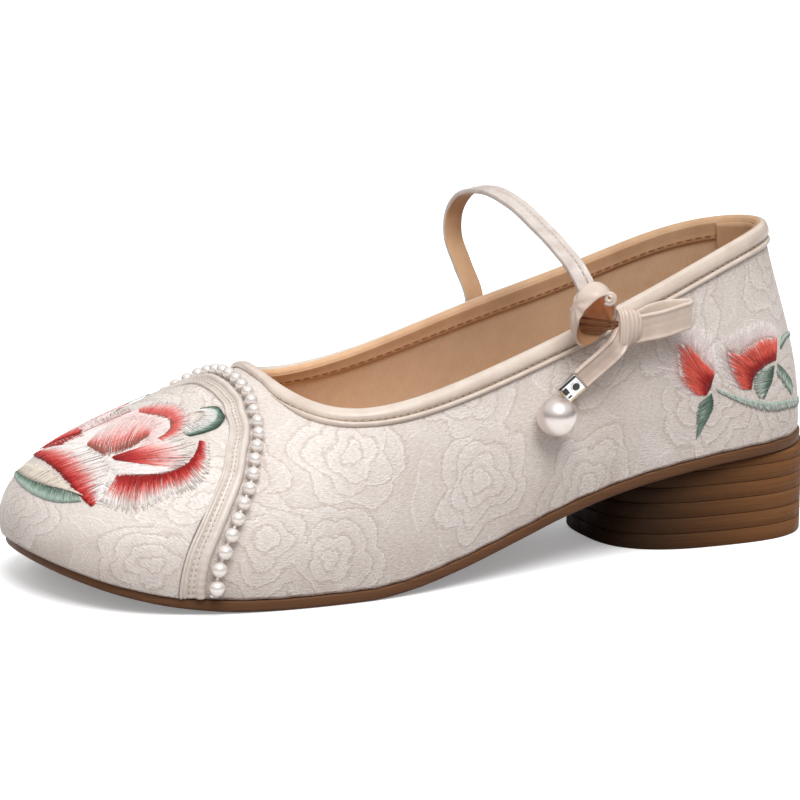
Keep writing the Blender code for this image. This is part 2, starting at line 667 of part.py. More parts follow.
def build_tail_clasp():
    end, forward, across = tail_frame()
    middle = end + (GAP + CLASP_LENGTH / 2.0) * forward
    normal = np.cross(forward, across)
    block = bmesh.new()
    size = Matrix.Diagonal((CLASP_LENGTH * MM, CLASP_WIDTH * MM, CLASP_THICKNESS * MM, 1.0))
    bmesh.ops.create_cube(block, size=1.0, matrix=size)
    mesh = bpy.data.meshes.new("tail_clasp")
    block.to_mesh(mesh)
    block.free()
    clasp = finish(bpy.data.objects.new("tail_clasp", mesh), STEEL)
    turn = Matrix(np.stack([forward, across, normal], axis=1).tolist())
    clasp.matrix_world = Matrix.LocRotScale(Vector(to_world(middle)), turn, None)
    edges = clasp.modifiers.new("edges", "BEVEL")
    edges.width = CLASP_BEVEL * MM
    edges.segments = 2


def build_tail_pearl():
    build_pearl("tail_pearl", TAIL_PEARL_CENTRE, TAIL_PEARL_RADIUS, 14, 8)


for leftover in list(bpy.data.objects):
    bpy.data.objects.remove(leftover, do_unlink=True)
shoe_parts = new_collection("hanfu_shoe")

build_outsole()
build_heel()
build_insole()
build_upper()
build_toe_cap()
build_toe_cap_binding()
build_toe_pearls()
build_collar_binding()
build_collar_piping()
build_strap()
build_bow_puff()
build_bow_knot()
build_bow_flat_loop()
build_bow_tail()
build_tail_clasp()
build_tail_pearl()
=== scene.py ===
import math

import bpy
import numpy as np
from mathutils import Matrix, Vector


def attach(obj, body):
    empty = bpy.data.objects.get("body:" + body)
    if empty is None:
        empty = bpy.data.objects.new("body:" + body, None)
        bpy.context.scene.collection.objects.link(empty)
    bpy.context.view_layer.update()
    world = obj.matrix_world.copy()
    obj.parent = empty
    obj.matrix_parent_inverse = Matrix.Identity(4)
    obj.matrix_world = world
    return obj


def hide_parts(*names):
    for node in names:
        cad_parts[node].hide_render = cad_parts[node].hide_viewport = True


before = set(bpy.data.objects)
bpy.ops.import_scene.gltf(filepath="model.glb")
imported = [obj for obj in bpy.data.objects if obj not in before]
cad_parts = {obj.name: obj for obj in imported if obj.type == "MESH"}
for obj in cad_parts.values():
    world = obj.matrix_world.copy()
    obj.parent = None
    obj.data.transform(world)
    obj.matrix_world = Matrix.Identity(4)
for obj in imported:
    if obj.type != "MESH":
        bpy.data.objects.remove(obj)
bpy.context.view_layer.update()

bpy.ops.object.select_all(action="DESELECT")
dice = np.random.default_rng(7)
print("frame loaded:", len(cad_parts), "nodes")


# the last, as in the part's source: millimetres, s from the toe tip, y to the inner side, z up
lastSizes = {"centreS": 122.3, "centreY": -0.35, "gap": 0.3, "wall": 2.0, "soleThickness": 3.2,
             "soleMargin": 0.8, "toeMargin": 0.1, "toeMarginReach": 18.0}
footS, footY, collarS, collarY, collarZ, rise, flare, drop, spread = range(9)
ribTable = np.array([
    (1.9, 6.0, 71.8, 2.5, 58.0, 22, 4.8, 17, 40),        # toe centre
    (5.3, -12.0, 72.6, -5.4, 56.7, 22, 5.0, 16, 37),
    (19.0, -30.5, 74.8, -13.6, 54.5, 21, 5.5, 14, 32),
    (45.0, -41.0, 80.8, -22.4, 51.6, 19, 4.0, 13, 22),   # little toe
    (77.0, -44.0, 93.0, -30.0, 50.8, 18, 3.0, 13, 14),   # outer ball
    (112.0, -41.2, 116.0, -31.5, 55.2, 18, 2.0, 16, 8),
    (148.0, -35.5, 148.0, -29.5, 65.0, 17, 2.5, 20, 5),  # outer waist
    (182.0, -30.4, 180.0, -26.5, 76.2, 18, 2.0, 22, 4.5),
    (212.0, -28.2, 208.0, -21.5, 86.3, 20, 1.2, 22, 4.5),
    (235.3, -20.6, 225.8, -12.5, 90.4, 22, 1.0, 22, 4.5),
    (243.8, 0.0, 232.6, 0.0, 90.9, 24, 0.8, 22, 4.5),    # back of the heel
    (235.3, 20.0, 225.8, 12.5, 89.3, 22, 1.0, 22, 4.5),
    (212.0, 26.8, 208.0, 21.5, 84.1, 20, 1.2, 22, 4.5),
    (182.0, 27.6, 180.0, 24.0, 75.0, 18, 2.0, 22, 4.5),
    (148.0, 28.0, 148.0, 25.5, 65.6, 17, 3.0, 20, 5),    # inner waist
    (112.0, 33.5, 116.0, 28.5, 55.0, 18, 2.5, 16, 8),
    (77.0, 40.0, 93.0, 28.5, 51.0, 19, 3.0, 13, 14),     # inner ball
    (45.0, 41.0, 80.8, 23.6, 52.6, 20, 4.0, 13, 22),     # big toe
    (19.0, 34.5, 74.8, 17.0, 55.4, 21, 5.5, 13, 34),
    (5.3, 21.5, 72.6, 10.0, 57.4, 22, 5.0, 15, 39),
])
ribCount = len(ribTable)
heelRib = ribCount // 2
soleTopTable = [(0.0, 14.6), (8.0, 11.6), (20.0, 8.0), (35.0, 5.0), (50.0, 3.5), (62.0, 3.2), (88.0, 3.2),
                (100.0, 4.5), (116.0, 8.1), (137.0, 14.3), (154.0, 19.4), (172.0, 23.5), (192.0, 26.7),
                (212.0, 28.9), (246.0, 30.6)]
upward = np.array([0.0, 0.0, 1.0])


def splineBends(values):         # second derivatives of closed cubic splines through the rows
    one = np.eye(len(values))
    before, after = np.roll(values, 1, axis=0), np.roll(values, -1, axis=0)
    system = 4.0 * one + np.roll(one, 1, axis=1) + np.roll(one, -1, axis=1)
    return np.linalg.solve(system, 6.0 * (before - 2.0 * values + after))


ribBends = splineBends(ribTable)


def ribValues(rib):              # all nine columns of the rib table at any rib number
    rib = np.asarray(rib, dtype=float)
    low = np.floor(rib).astype(int) % ribCount
    high = (low + 1) % ribCount
    ahead = (rib - np.floor(rib))[..., None]
    back = 1.0 - ahead
    straight = back * ribTable[low] + ahead * ribTable[high]
    return straight + ((back ** 3 - back) * ribBends[low] + (ahead ** 3 - ahead) * ribBends[high]) / 6.0


def hermite(t, width, value, lean, row):   # cubic from one row to the next, with a given lean at each
    start = (1.0 + 2.0 * t) * (1.0 - t) ** 2 * value[row] + t * (1.0 - t) ** 2 * width * lean[row]
    end = t * t * (3.0 - 2.0 * t) * value[row + 1] + t * t * (t - 1.0) * width * lean[row + 1]
    return start + end


def steadyCurve(table, where):   # smooth curve through rows that never swings past them
    place, value = np.array(table, dtype=float).T
    width = np.diff(place)
    slope = np.diff(value) / width
    lean = np.zeros(len(place))
    lean[0], lean[-1] = slope[0], slope[-1]
    for row in range(1, len(place) - 1):
        before, after = slope[row - 1], slope[row]
        if before * after > 0.0:
            weightBefore = 2.0 * width[row] + width[row - 1]
            weightAfter = width[row] + 2.0 * width[row - 1]
            lean[row] = (weightBefore + weightAfter) / (weightBefore / before + weightAfter / after)
    where = np.clip(where, place[0], place[-1])
    row = np.clip(np.searchsorted(place, where, side="right") - 1, 0, len(width) - 1)
    return hermite((where - place[row]) / width[row], width[row], value, lean, row)


def runAlong(curve):             # distance travelled at each point of a curve
    return np.concatenate(([0.0], np.cumsum(np.linalg.norm(np.diff(curve, axis=0), axis=1))))


def sampled(curve, run, at):     # a curve's columns where its run has the given values
    return np.stack([np.interp(at, run, column) for column in curve.T], axis=-1)


def smoothRoute(stops, count):   # evenly spaced points on a flowing curve through a few stops
    stops = np.array(stops, dtype=float)
    chord = runAlong(stops)
    lean = np.gradient(stops, chord, axis=0)
    fine = np.linspace(0.0, chord[-1], 20 * count)
    row = np.clip(np.searchsorted(chord, fine, side="right") - 1, 0, len(chord) - 2)
    width = np.diff(chord)[row][:, None]
    curve = hermite((fine - chord[row])[:, None] / width, width, stops, lean, row)
    run = runAlong(curve)
    return sampled(curve, run, np.linspace(0.0, run[-1], count))


def blend(low, high, x):
    t = np.clip((x - low) / (high - low), 0.0, 1.0)
    return t * t * (3.0 - 2.0 * t)


def bell(x, width):
    return np.exp(-(x / width) ** 2)


def unit(vectors):
    return vectors / np.maximum(np.linalg.norm(vectors, axis=-1, keepdims=True), 1e-9)


def soleTop(s):
    return steadyCurve(soleTopTable, s)


def soleBottom(s):
    return soleTop(s) - lastSizes["soleThickness"]


def footLine(rib, margin=0.0):   # where upper and sole meet, moved out sideways by a margin
    nudge = 0.01
    rib = np.asarray(rib, dtype=float)
    here = ribValues(rib)
    ahead = ribValues(rib + nudge) - ribValues(rib - nudge)
    length = np.hypot(ahead[..., footS], ahead[..., footY])
    return (here[..., footS] + margin * ahead[..., footY] / length,
            here[..., footY] - margin * ahead[..., footS] / length)


def upperPoint(rib, share):      # outer face of the upper, by rib number and share from sole to collar
    rib, share = np.broadcast_arrays(np.asarray(rib, dtype=float), np.asarray(share, dtype=float))
    row = ribValues(rib)
    s, y = row[..., footS], row[..., footY]
    outS, outY = footLine(rib, 1.0)
    foot = np.stack([s, y, soleTop(s) + lastSizes["gap"]], axis=-1)
    collar = row[..., [collarS, collarY, collarZ]]
    outward = np.stack([outS - s, outY - y, np.zeros_like(s)], axis=-1)
    run = foot - collar
    run[..., 2] = 0.0
    leave = foot + row[..., [rise]] * upward + row[..., [flare]] * outward
    arrive = collar - row[..., [drop]] * upward + row[..., [spread]] * unit(run)
    t = share[..., None]
    return (1 - t) ** 3 * foot + 3 * t * (1 - t) ** 2 * leave + 3 * t * t * (1 - t) * arrive + t ** 3 * collar


def upperSlopes(rib, share):     # change of the surface point with the rib number and with the share
    nudge = 0.002
    rib, share = np.broadcast_arrays(np.asarray(rib, dtype=float), np.asarray(share, dtype=float))
    low, high = np.clip(share - nudge, 0.0, 1.0), np.clip(share + nudge, 0.0, 1.0)
    along = (upperPoint(rib + nudge, share) - upperPoint(rib - nudge, share)) / (2.0 * nudge)
    up = (upperPoint(rib, high) - upperPoint(rib, low)) / (high - low)[..., None]
    return along, up


def upperNormal(rib, share):
    return unit(np.cross(*upperSlopes(rib, share)))


def aboveUpper(rib, share, height):
    return upperPoint(rib, share) + np.asarray(height, dtype=float)[..., None] * upperNormal(rib, share)


def belowCollar(rib, distance):  # share of the rib that lies a distance below the collar's edge
    return 1.0 - distance / np.linalg.norm(upperSlopes(rib, 1.0)[1], axis=-1)


def besideLine(line, distance):  # ribs and shares of a line moved to its right over the surface
    rib, share = line.T
    along, up = upperSlopes(rib, share)
    ahead = unit(np.gradient(upperPoint(rib, share), axis=0))
    away = np.cross(ahead, upperNormal(rib, share)) * np.broadcast_to(distance, rib.shape)[:, None]
    ribWay, shareWay = (away * along).sum(axis=-1), (away * up).sum(axis=-1)
    pairs = ((along, along), (up, up), (along, up))
    alongAlong, upUp, alongUp = [(one * other).sum(axis=-1) for one, other in pairs]
    scale = alongAlong * upUp - alongUp ** 2
    newRib = rib + (ribWay * upUp - shareWay * alongUp) / scale
    return newRib, np.clip(share + (shareWay * alongAlong - ribWay * alongUp) / scale, 0.0, 1.0)


# a line of ribs and shares at equal distances over the surface, and its length
def evenOnUpper(line, count):
    run = runAlong(upperPoint(*line.T))
    return sampled(line, run, np.linspace(0.0, run[-1], count)), run[-1]


# making meshes and dressing them

def toWorld(points):
    return (np.asarray(points, dtype=float) - [lastSizes["centreS"], lastSizes["centreY"], 0.0]) * 0.001


def meshPiece(name, points, faces):
    mesh = bpy.data.meshes.new(name)
    faces = faces if isinstance(faces, list) else faces.tolist()
    mesh.from_pydata(toWorld(points).reshape(-1, 3).tolist(), [], faces)
    mesh.update()
    mesh.shade_smooth()
    piece = bpy.data.objects.new(name, mesh)
    bpy.context.scene.collection.objects.link(piece)
    return piece


def gridFaces(rows, columns, closed):
    row, column = np.meshgrid(np.arange(rows - 1), np.arange(columns if closed else columns - 1),
                              indexing="ij")
    here, above = row * columns, (row + 1) * columns
    beside = (column + 1) % columns
    return np.stack([here + column, here + beside, above + beside, above + column], axis=-1).reshape(-1, 4)


def gridPiece(name, points, closed=False, cloth=None):   # quads over a grid, with a cloth map in metres
    rows, columns = points.shape[:2]
    piece = meshPiece(name, points, gridFaces(rows, columns, closed))
    if cloth is not None:        # the cloth of a closed piece has one column more, for its seam
        corners = gridFaces(rows, cloth.shape[1], False).ravel()
        layer = piece.data.uv_layers.new(name="cloth")
        layer.uv.foreach_set("vector", (cloth.reshape(-1, 2)[corners] * 0.001).astype(np.float32).ravel())
    return piece


def tubePiece(name, rings, joined=False):   # closed body through rings of points, capped or joined up
    rings = np.asarray(rings)
    count, around = rings.shape[:2]
    faces = gridFaces(count, around, True).tolist()
    last = (count - 1) * around
    if joined:
        faces += [(last + k, last + (k + 1) % around, (k + 1) % around, k) for k in range(around)]
    else:
        faces.append(tuple(reversed(range(around))))
        faces.append(tuple(range(last, last + around)))
    return meshPiece(name, rings, faces)


# paints it, applies its modifiers, hangs it on the frame
def finishPiece(piece, materials, slotName, *nodes):
    for material in materials:
        piece.data.materials.append(material)
    bpy.ops.object.select_all(action="DESELECT")
    bpy.context.view_layer.objects.active = piece
    piece.select_set(True)
    for modifier in list(piece.modifiers):
        bpy.ops.object.modifier_apply(modifier=modifier.name)
    piece.select_set(False)
    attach(piece, "root")
    if nodes:
        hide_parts(*nodes)
    return piece


def addWall(piece, thickness, innerSlot=0):
    wall = piece.modifiers.new("wall", "SOLIDIFY")
    wall.thickness = thickness * 0.001
    wall.offset = -1.0
    wall.use_even_offset = True
    wall.material_offset = innerSlot


def editMesh(*steps):            # runs mesh operators on the whole of the object just added
    bpy.ops.object.mode_set(mode="EDIT")
    bpy.ops.mesh.select_all(action="SELECT")
    for operator, settings in steps:
        operator(**settings)
    bpy.ops.object.mode_set(mode="OBJECT")
    return bpy.context.object


# node helper and colours

def linear(hexColour):
    channels = [int(hexColour[start:start + 2], 16) / 255.0 for start in (0, 2, 4)]
    return [c / 12.92 if c <= 0.04045 else ((c + 0.055) / 1.055) ** 2.4 for c in channels] + [1.0]


def feed(tree, node, inputs):    # links nodes and sockets, sets constants; a list goes by socket number
    for socket, value in inputs.items() if isinstance(inputs, dict) else enumerate(inputs):
        if isinstance(value, bpy.types.Node):
            value = value.outputs[0]
        if isinstance(value, bpy.types.NodeSocket):
            tree.links.new(value, node.inputs[socket])
        else:
            node.inputs[socket].default_value = value


def addNode(tree, kind, inputs=(), **settings):   # a node, what it is set to, and what feeds it
    node = tree.nodes.new("ShaderNode" + kind)
    for key, value in settings.items():
        setattr(node, key, value)
    feed(tree, node, inputs)
    return node


def newMaterial(name, clothMap=False, **sockets):   # gives the place on the piece in millimetres as well
    material = bpy.data.materials.new(name)
    material.use_nodes = True
    tree = material.node_tree
    shader = tree.nodes["Principled BSDF"]
    feed(tree, shader, {socket.replace("_", " "): value for socket, value in sockets.items()})
    if clothMap:
        place = addNode(tree, "UVMap", uv_map="cloth")
    else:
        place = addNode(tree, "TexCoord").outputs["Object"]
    flat = addNode(tree, "VectorMath", {0: place, "Scale": 1000.0}, operation="SCALE")
    return material, tree, shader, flat


# jacquard satin: slanted floats all over, with roses and leaves combed into them,
# so that the figure shows by gloss, faint relief and a painted sheen in its colour
jacquardLook = {"shade": "C5B7AC", "paintedSheen": "F2ECE8", "sheenTint": "FFF6F2", "roseWide": 33.0,
                "roseSpacing": 37.0, "comb": 1.1, "jag": 1.1, "jagFine": 0.9, "leafLong": 18.0,
                "leafSpacing": 20.0, "leafSlim": 2.2, "veinSlant": -1.4, "drift": 9.0, "driftLong": 15.0,
                "grainLong": 1.4, "grainWide": 0.42, "slant": 0.62, "speck": 0.34, "cloudLong": 22.0,
                "cloud": 0.12, "outline": 0.55, "outlineDark": -0.95, "figure": 0.3, "middle": 0.42,
                "relief": 0.0003}
petalRings = [(3, 0.2, 0.30, 0.2), (4, 0.43, 0.28, 1.1), (5, 0.68, 0.24, 2.3), (6, 0.94, 0.2, 0.5)]


def makeJacquard(name, look):
    material, tree, shader, flat = newMaterial(name, clothMap=True, Sheen_Weight=0.15, Sheen_Roughness=0.35,
                                               Sheen_Tint=linear(look["sheenTint"]), Specular_IOR_Level=0.45)
    drift = addNode(tree, "TexNoise", {"Vector": flat, "Scale": 1 / look["driftLong"], "Detail": 1.0})
    centred = addNode(tree, "VectorMath", [drift.outputs["Color"], (0.5, 0.5, 0.5)], operation="SUBTRACT")
    sway = (look["drift"], look["drift"], 0.0)
    bent = addNode(tree, "VectorMath", [centred, sway, flat], operation="MULTIPLY_ADD")
    cells = addNode(tree, "TexVoronoi", {"Vector": bent, "Scale": 1 / look["roseSpacing"],
                                         "Randomness": 0.55}, voronoi_dimensions="2D")
    local = addNode(tree, "VectorMath", [bent, cells.outputs["Position"]], operation="SUBTRACT")
    apart = addNode(tree, "SeparateXYZ", [local])
    angle = addNode(tree, "Math", [apart.outputs["Y"], apart.outputs["X"]], operation="ARCTAN2")
    turned = addNode(tree, "Math", [cells.outputs["Color"], math.tau, angle], operation="MULTIPLY_ADD")
    distance = addNode(tree, "VectorMath", [local], operation="LENGTH").outputs["Value"]
    steps = addNode(tree, "TexNoise", {"Vector": flat, "Scale": look["jagFine"], "Detail": 1.0})
    jagged = addNode(tree, "MapRange", {"Value": steps, "To Min": -look["jag"], "To Max": look["jag"]})
    # woven edges are stepped, not smooth
    reach = addNode(tree, "Math", [distance, jagged], operation="ADD")
    half = look["roseWide"] / 2.0
    petals, outlines = None, None
    for lobes, size, scallop, turn in petalRings:
        phase = addNode(tree, "Math", [turned, lobes / 2.0, turn], operation="MULTIPLY_ADD")
        swing = addNode(tree, "Math", [phase], operation="SINE")
        lobe = addNode(tree, "Math", [swing], operation="ABSOLUTE")
        notch = size * (1.0 - 0.6 * scallop) * half
        edge = addNode(tree, "Math", [lobe, scallop * size * half, notch], operation="MULTIPLY_ADD")
        past = addNode(tree, "Math", [reach, edge], operation="SUBTRACT")    # millimetres outside the petal
        off = addNode(tree, "Math", [past], operation="ABSOLUTE")
        line = addNode(tree, "MapRange", {"Value": off, "From Min": 0.3 * look["outline"],
                                          "From Max": look["outline"], "To Min": 1.0, "To Max": 0.0})
        wave = addNode(tree, "Math", [past, math.tau / look["comb"]], operation="MULTIPLY")
        teeth = addNode(tree, "Math", [wave], operation="SINE")
        comb = addNode(tree, "MapRange", {"Value": teeth, "From Min": -0.6, "From Max": 0.8, "To Min": 0.2})
        inner = addNode(tree, "MapRange", {"Value": past, "From Min": -5.0, "From Max": -0.4})
        under = addNode(tree, "Math", [past, 0.0], operation="LESS_THAN")
        shown = addNode(tree, "Math", [inner, under], operation="MULTIPLY")
        petal = addNode(tree, "Math", [comb, shown], operation="MULTIPLY")
        petals = petal if petals is None else addNode(tree, "Math", [petals, petal], operation="MAXIMUM")
        outlines = line if outlines is None else addNode(tree, "Math", [outlines, line], operation="MAXIMUM")
    # pointed leaves with veins fill the ground between the roses
    sprigs = addNode(tree, "TexVoronoi", {"Vector": bent, "Scale": 1 / look["leafSpacing"],
                                          "Randomness": 0.8}, voronoi_dimensions="2D")
    nearLeaf = addNode(tree, "VectorMath", [bent, sprigs.outputs["Position"]], operation="SUBTRACT")
    leafTurn = addNode(tree, "Math", [sprigs.outputs["Color"], math.tau], operation="MULTIPLY")
    laid = addNode(tree, "VectorRotate", {"Vector": nearLeaf, "Angle": leafTurn}, rotation_type="Z_AXIS")
    sized = addNode(tree, "VectorMath", {0: laid, "Scale": 2.0 / look["leafLong"]}, operation="SCALE")
    leafWay = addNode(tree, "SeparateXYZ", [sized])
    sideways = addNode(tree, "Math", [leafWay.outputs["Y"]], operation="ABSOLUTE")
    squared = addNode(tree, "Math", [leafWay.outputs["X"], 2.0], operation="POWER")
    body = addNode(tree, "Math", [sideways, look["leafSlim"], squared], operation="MULTIPLY_ADD")
    rim = addNode(tree, "Math", [body, 1.0], operation="SUBTRACT")
    rimOff = addNode(tree, "Math", [rim], operation="ABSOLUTE")
    leafLine = addNode(tree, "MapRange", {"Value": rimOff, "From Min": 0.02, "From Max": 0.09,
                                          "To Min": 1.0, "To Max": 0.0})
    veinWay = addNode(tree, "Math", [sideways, look["veinSlant"], leafWay.outputs["X"]],
                      operation="MULTIPLY_ADD")
    stepped = addNode(tree, "Math", [veinWay, math.pi * look["leafLong"] / look["comb"]],
                      operation="MULTIPLY")
    veinWave = addNode(tree, "Math", [stepped], operation="SINE")
    veins = addNode(tree, "MapRange", {"Value": veinWave, "From Min": -0.2, "From Max": 0.9, "To Max": 0.8})
    inLeaf = addNode(tree, "Math", [body, 1.0], operation="LESS_THAN")
    leafFill = addNode(tree, "Math", [veins, inLeaf], operation="MULTIPLY")
    leaf = addNode(tree, "Math", [leafLine, leafFill], operation="MAXIMUM")
    clear = addNode(tree, "MapRange", {"Value": reach, "From Min": 1.06 * half, "From Max": 1.14 * half})
    leafShown = addNode(tree, "Math", [leaf, clear], operation="MULTIPLY")
    bright = addNode(tree, "Math", [petals, leafShown], operation="MAXIMUM")
    figure = addNode(tree, "Math", [outlines, look["outlineDark"], bright], operation="MULTIPLY_ADD")
    # floats of the weave lie on a slant; drawn coarser than the real threads so that they show
    slanted = addNode(tree, "Mapping", {"Vector": flat, "Rotation": (0.0, 0.0, look["slant"]),
                                        "Scale": (1 / look["grainLong"], 1 / look["grainWide"], 1.0)})
    grain = addNode(tree, "TexNoise", {"Vector": slanted, "Scale": 1.0, "Detail": 2.0, "Roughness": 0.7})
    speck = addNode(tree, "MapRange", {"Value": grain, "From Min": 0.3, "From Max": 0.7,
                                       "To Min": -look["speck"], "To Max": look["speck"]})
    cloud = addNode(tree, "TexNoise", {"Vector": flat, "Scale": 1 / look["cloudLong"], "Detail": 2.0})
    worn = addNode(tree, "MapRange", {"Value": cloud, "From Min": 0.3, "From Max": 0.7,
                                      "To Min": -look["cloud"], "To Max": look["cloud"]})
    mottled = addNode(tree, "Math", [speck, worn], operation="ADD")
    # painted sheen: the figure is painted lighter than the ground and its outlines darker, where the cloth
    # differs only in sheen; the grain and clouding are the cloth's own
    tone = addNode(tree, "Math", [figure, look["figure"], mottled], operation="MULTIPLY_ADD")
    raised = addNode(tree, "Math", [tone, look["middle"]], operation="ADD", use_clamp=True)
    cream = addNode(tree, "Mix", {0: raised, 6: linear(look["shade"]), 7: linear(look["paintedSheen"])},
                    data_type="RGBA")
    gloss = addNode(tree, "MapRange", {"Value": raised, "To Min": 0.55, "To Max": 0.34})
    height = addNode(tree, "Math", [figure, 0.5, speck], operation="MULTIPLY_ADD")
    relief = addNode(tree, "Bump", {"Strength": 0.4, "Distance": look["relief"], "Height": height})
    feed(tree, shader, {"Base Color": cream.outputs[2], "Roughness": gloss, "Normal": relief})
    return material


# plain satin of binding and ribbon: fine slanting floats, soft highlights, a little uneven in colour
bindingLook = {"cream": "DFD0C3", "shade": "C7AE9E", "threadWide": 0.4, "cloud": 7.0}
collarLook = {"cream": "DED1C4", "shade": "C8B5A6", "threadWide": 0.4, "cloud": 6.0}
strapLook = {"cream": "DBD2CB", "shade": "B8A89D", "threadWide": 0.4, "cloud": 4.0}
capBindingLook = {"cream": "DED5CD", "shade": "C9BAAF", "threadWide": 0.4, "cloud": 5.0}


def makePlainSatin(name, look):
    material, tree, shader, flat = newMaterial(name, Sheen_Weight=0.2, Sheen_Roughness=0.3,
                                               Specular_IOR_Level=0.5)
    cloud = addNode(tree, "TexNoise", {"Vector": flat, "Scale": 1 / look["cloud"], "Detail": 2.0})
    fine = 1 / look["threadWide"]
    slanted = addNode(tree, "Mapping", {"Vector": flat, "Rotation": (0.3, 0.5, 0.6),
                                        "Scale": (0.6, fine, fine)})
    floats = addNode(tree, "TexNoise", {"Vector": slanted, "Scale": 1.0, "Detail": 2.0})
    tone = addNode(tree, "MapRange", {"Value": cloud, "From Min": 0.35, "From Max": 0.75, "To Max": 0.55})
    mixed = addNode(tree, "Math", [floats, 0.3, tone], operation="MULTIPLY_ADD")
    cream = addNode(tree, "Mix", {0: mixed, 6: linear(look["cream"]), 7: linear(look["shade"])},
                    data_type="RGBA")
    gloss = addNode(tree, "MapRange", {"Value": floats, "To Min": 0.2, "To Max": 0.42})
    relief = addNode(tree, "Bump", {"Strength": 0.25, "Distance": 0.0003, "Height": floats})
    feed(tree, shader, {"Base Color": cream.outputs[2], "Roughness": gloss, "Normal": relief})
    return material


# tan cotton lining: woven in fine upright ribs, matt; painted paler towards the throat and darker towards the
# back, as painted light and shade
liningLook = {"tan": "DFBE9D", "valley": "CDAB89", "ribWide": 0.7, "fade": ("X", -0.06, 0.02, 1.45, 0.9)}


# painted light and shade: a colour scaled up or down along one axis of the piece
def paintedLightAlong(tree, colour, fade):   # a colour made brighter or darker along one axis, given in metres
    axis, start, end, first, last = fade
    along = addNode(tree, "SeparateXYZ", [addNode(tree, "TexCoord").outputs["Object"]]).outputs[axis]
    share = addNode(tree, "MapRange", {"Value": along, "From Min": start, "From Max": end,
                                       "To Min": first, "To Max": last})
    return addNode(tree, "VectorMath", {0: colour.outputs[2], "Scale": share}, operation="SCALE")


def makeLining(name, look):
    material, tree, shader, flat = newMaterial(name, clothMap=True, Specular_IOR_Level=0.2, Sheen_Weight=0.15)
    wander = addNode(tree, "TexNoise", {"Vector": flat, "Scale": 0.25, "Detail": 2.0})
    ribs = addNode(tree, "TexWave", {"Vector": flat, "Scale": 0.314 / look["ribWide"], "Distortion": 0.5,
                                     "Detail": 1.0, "Detail Scale": 3.0}, bands_direction="X")
    wove = addNode(tree, "Math", [ribs, 0.7, wander], operation="MULTIPLY_ADD")
    tone = addNode(tree, "MapRange", {"Value": wove, "From Min": 0.3, "From Max": 1.2})
    tan = addNode(tree, "Mix", {0: tone, 6: linear(look["valley"]), 7: linear(look["tan"])}, data_type="RGBA")
    dull = addNode(tree, "MapRange", {"Value": wander, "To Min": 0.7, "To Max": 0.9})
    relief = addNode(tree, "Bump", {"Strength": 0.2, "Distance": 0.0002, "Height": ribs})
    feed(tree, shader, {"Base Color": paintedLightAlong(tree, tan, look["fade"]), "Roughness": dull,
                        "Normal": relief})
    return material


# tan facing and sock leather: fine pebbled grain, soft gloss; the bow's dull satin backs use it too
leatherLook = {"light": "D3AB85", "dark": "C79E79", "pebble": 1.1, "fade": ("X", -0.06, 0.04, 1.0, 1.0)}
# the facing is painted paler towards the front and darker towards the back, as painted light and shade; the
# heel grip and the inside of the collar binding share it
facingLook = {**leatherLook, "light": "CFA985", "dark": "C29A77", "fade": ("X", -0.06, 0.04, 1.45, 0.9)}
# the loop's hollow: its tan is painted darker low down as painted shade, and up to twice as pale towards the
# top as painted light against the shade under the dome
hollowPaintedLightLook = {"light": "CB9C74", "dark": "AB7A52", "pebble": 0.8, "fade": ("Z", 0.069, 0.079, 0.85, 2.1)}
# the pleats' dark brown is painted shade between the folds of the loop
pleatPaintedShadeLook = {**leatherLook, "light": "8A5735", "dark": "6B3F25", "pebble": 0.8}


def makeLeather(name, look):
    material, tree, shader, flat = newMaterial(name, Specular_IOR_Level=0.35)
    pebbles = addNode(tree, "TexVoronoi", {"Vector": flat, "Scale": 1 / look["pebble"]}, feature="SMOOTH_F1")
    grain = pebbles.outputs["Distance"]
    cloud = addNode(tree, "TexNoise", {"Vector": flat, "Scale": 0.16, "Detail": 5.0})
    tone = addNode(tree, "MapRange", {"Value": cloud, "From Min": 0.3, "From Max": 0.7})
    tan = addNode(tree, "Mix", {0: tone, 6: linear(look["dark"]), 7: linear(look["light"])}, data_type="RGBA")
    dull = addNode(tree, "MapRange", {"Value": grain, "To Min": 0.5, "To Max": 0.7})
    relief = addNode(tree, "Bump", {"Strength": 0.2, "Distance": 0.0002, "Height": grain})
    feed(tree, shader, {"Base Color": paintedLightAlong(tree, tan, look["fade"]), "Roughness": dull,
                        "Normal": relief})
    return material


# moulded rubber: a brown body with fine level streaks like pressed board, satin gloss;
# the heel's front is painted dark, as painted shade under the arch
soleLook = {"body": "724F37", "streak": "5C3F2A", "streakHigh": 0.35, "streakLong": 26.0,
            "rough": (0.4, 0.58), "paintedShadeFront": (-0.5, -0.4), "paintedShadeDark": 0.12}
heelLook = {"body": "875D3C", "streak": "744C2B", "streakHigh": 0.5, "streakLong": 32.0, "rough": (0.5, 0.7),
            "paintedShadeFront": (0.056, 0.118), "paintedShadeDark": 0.12}


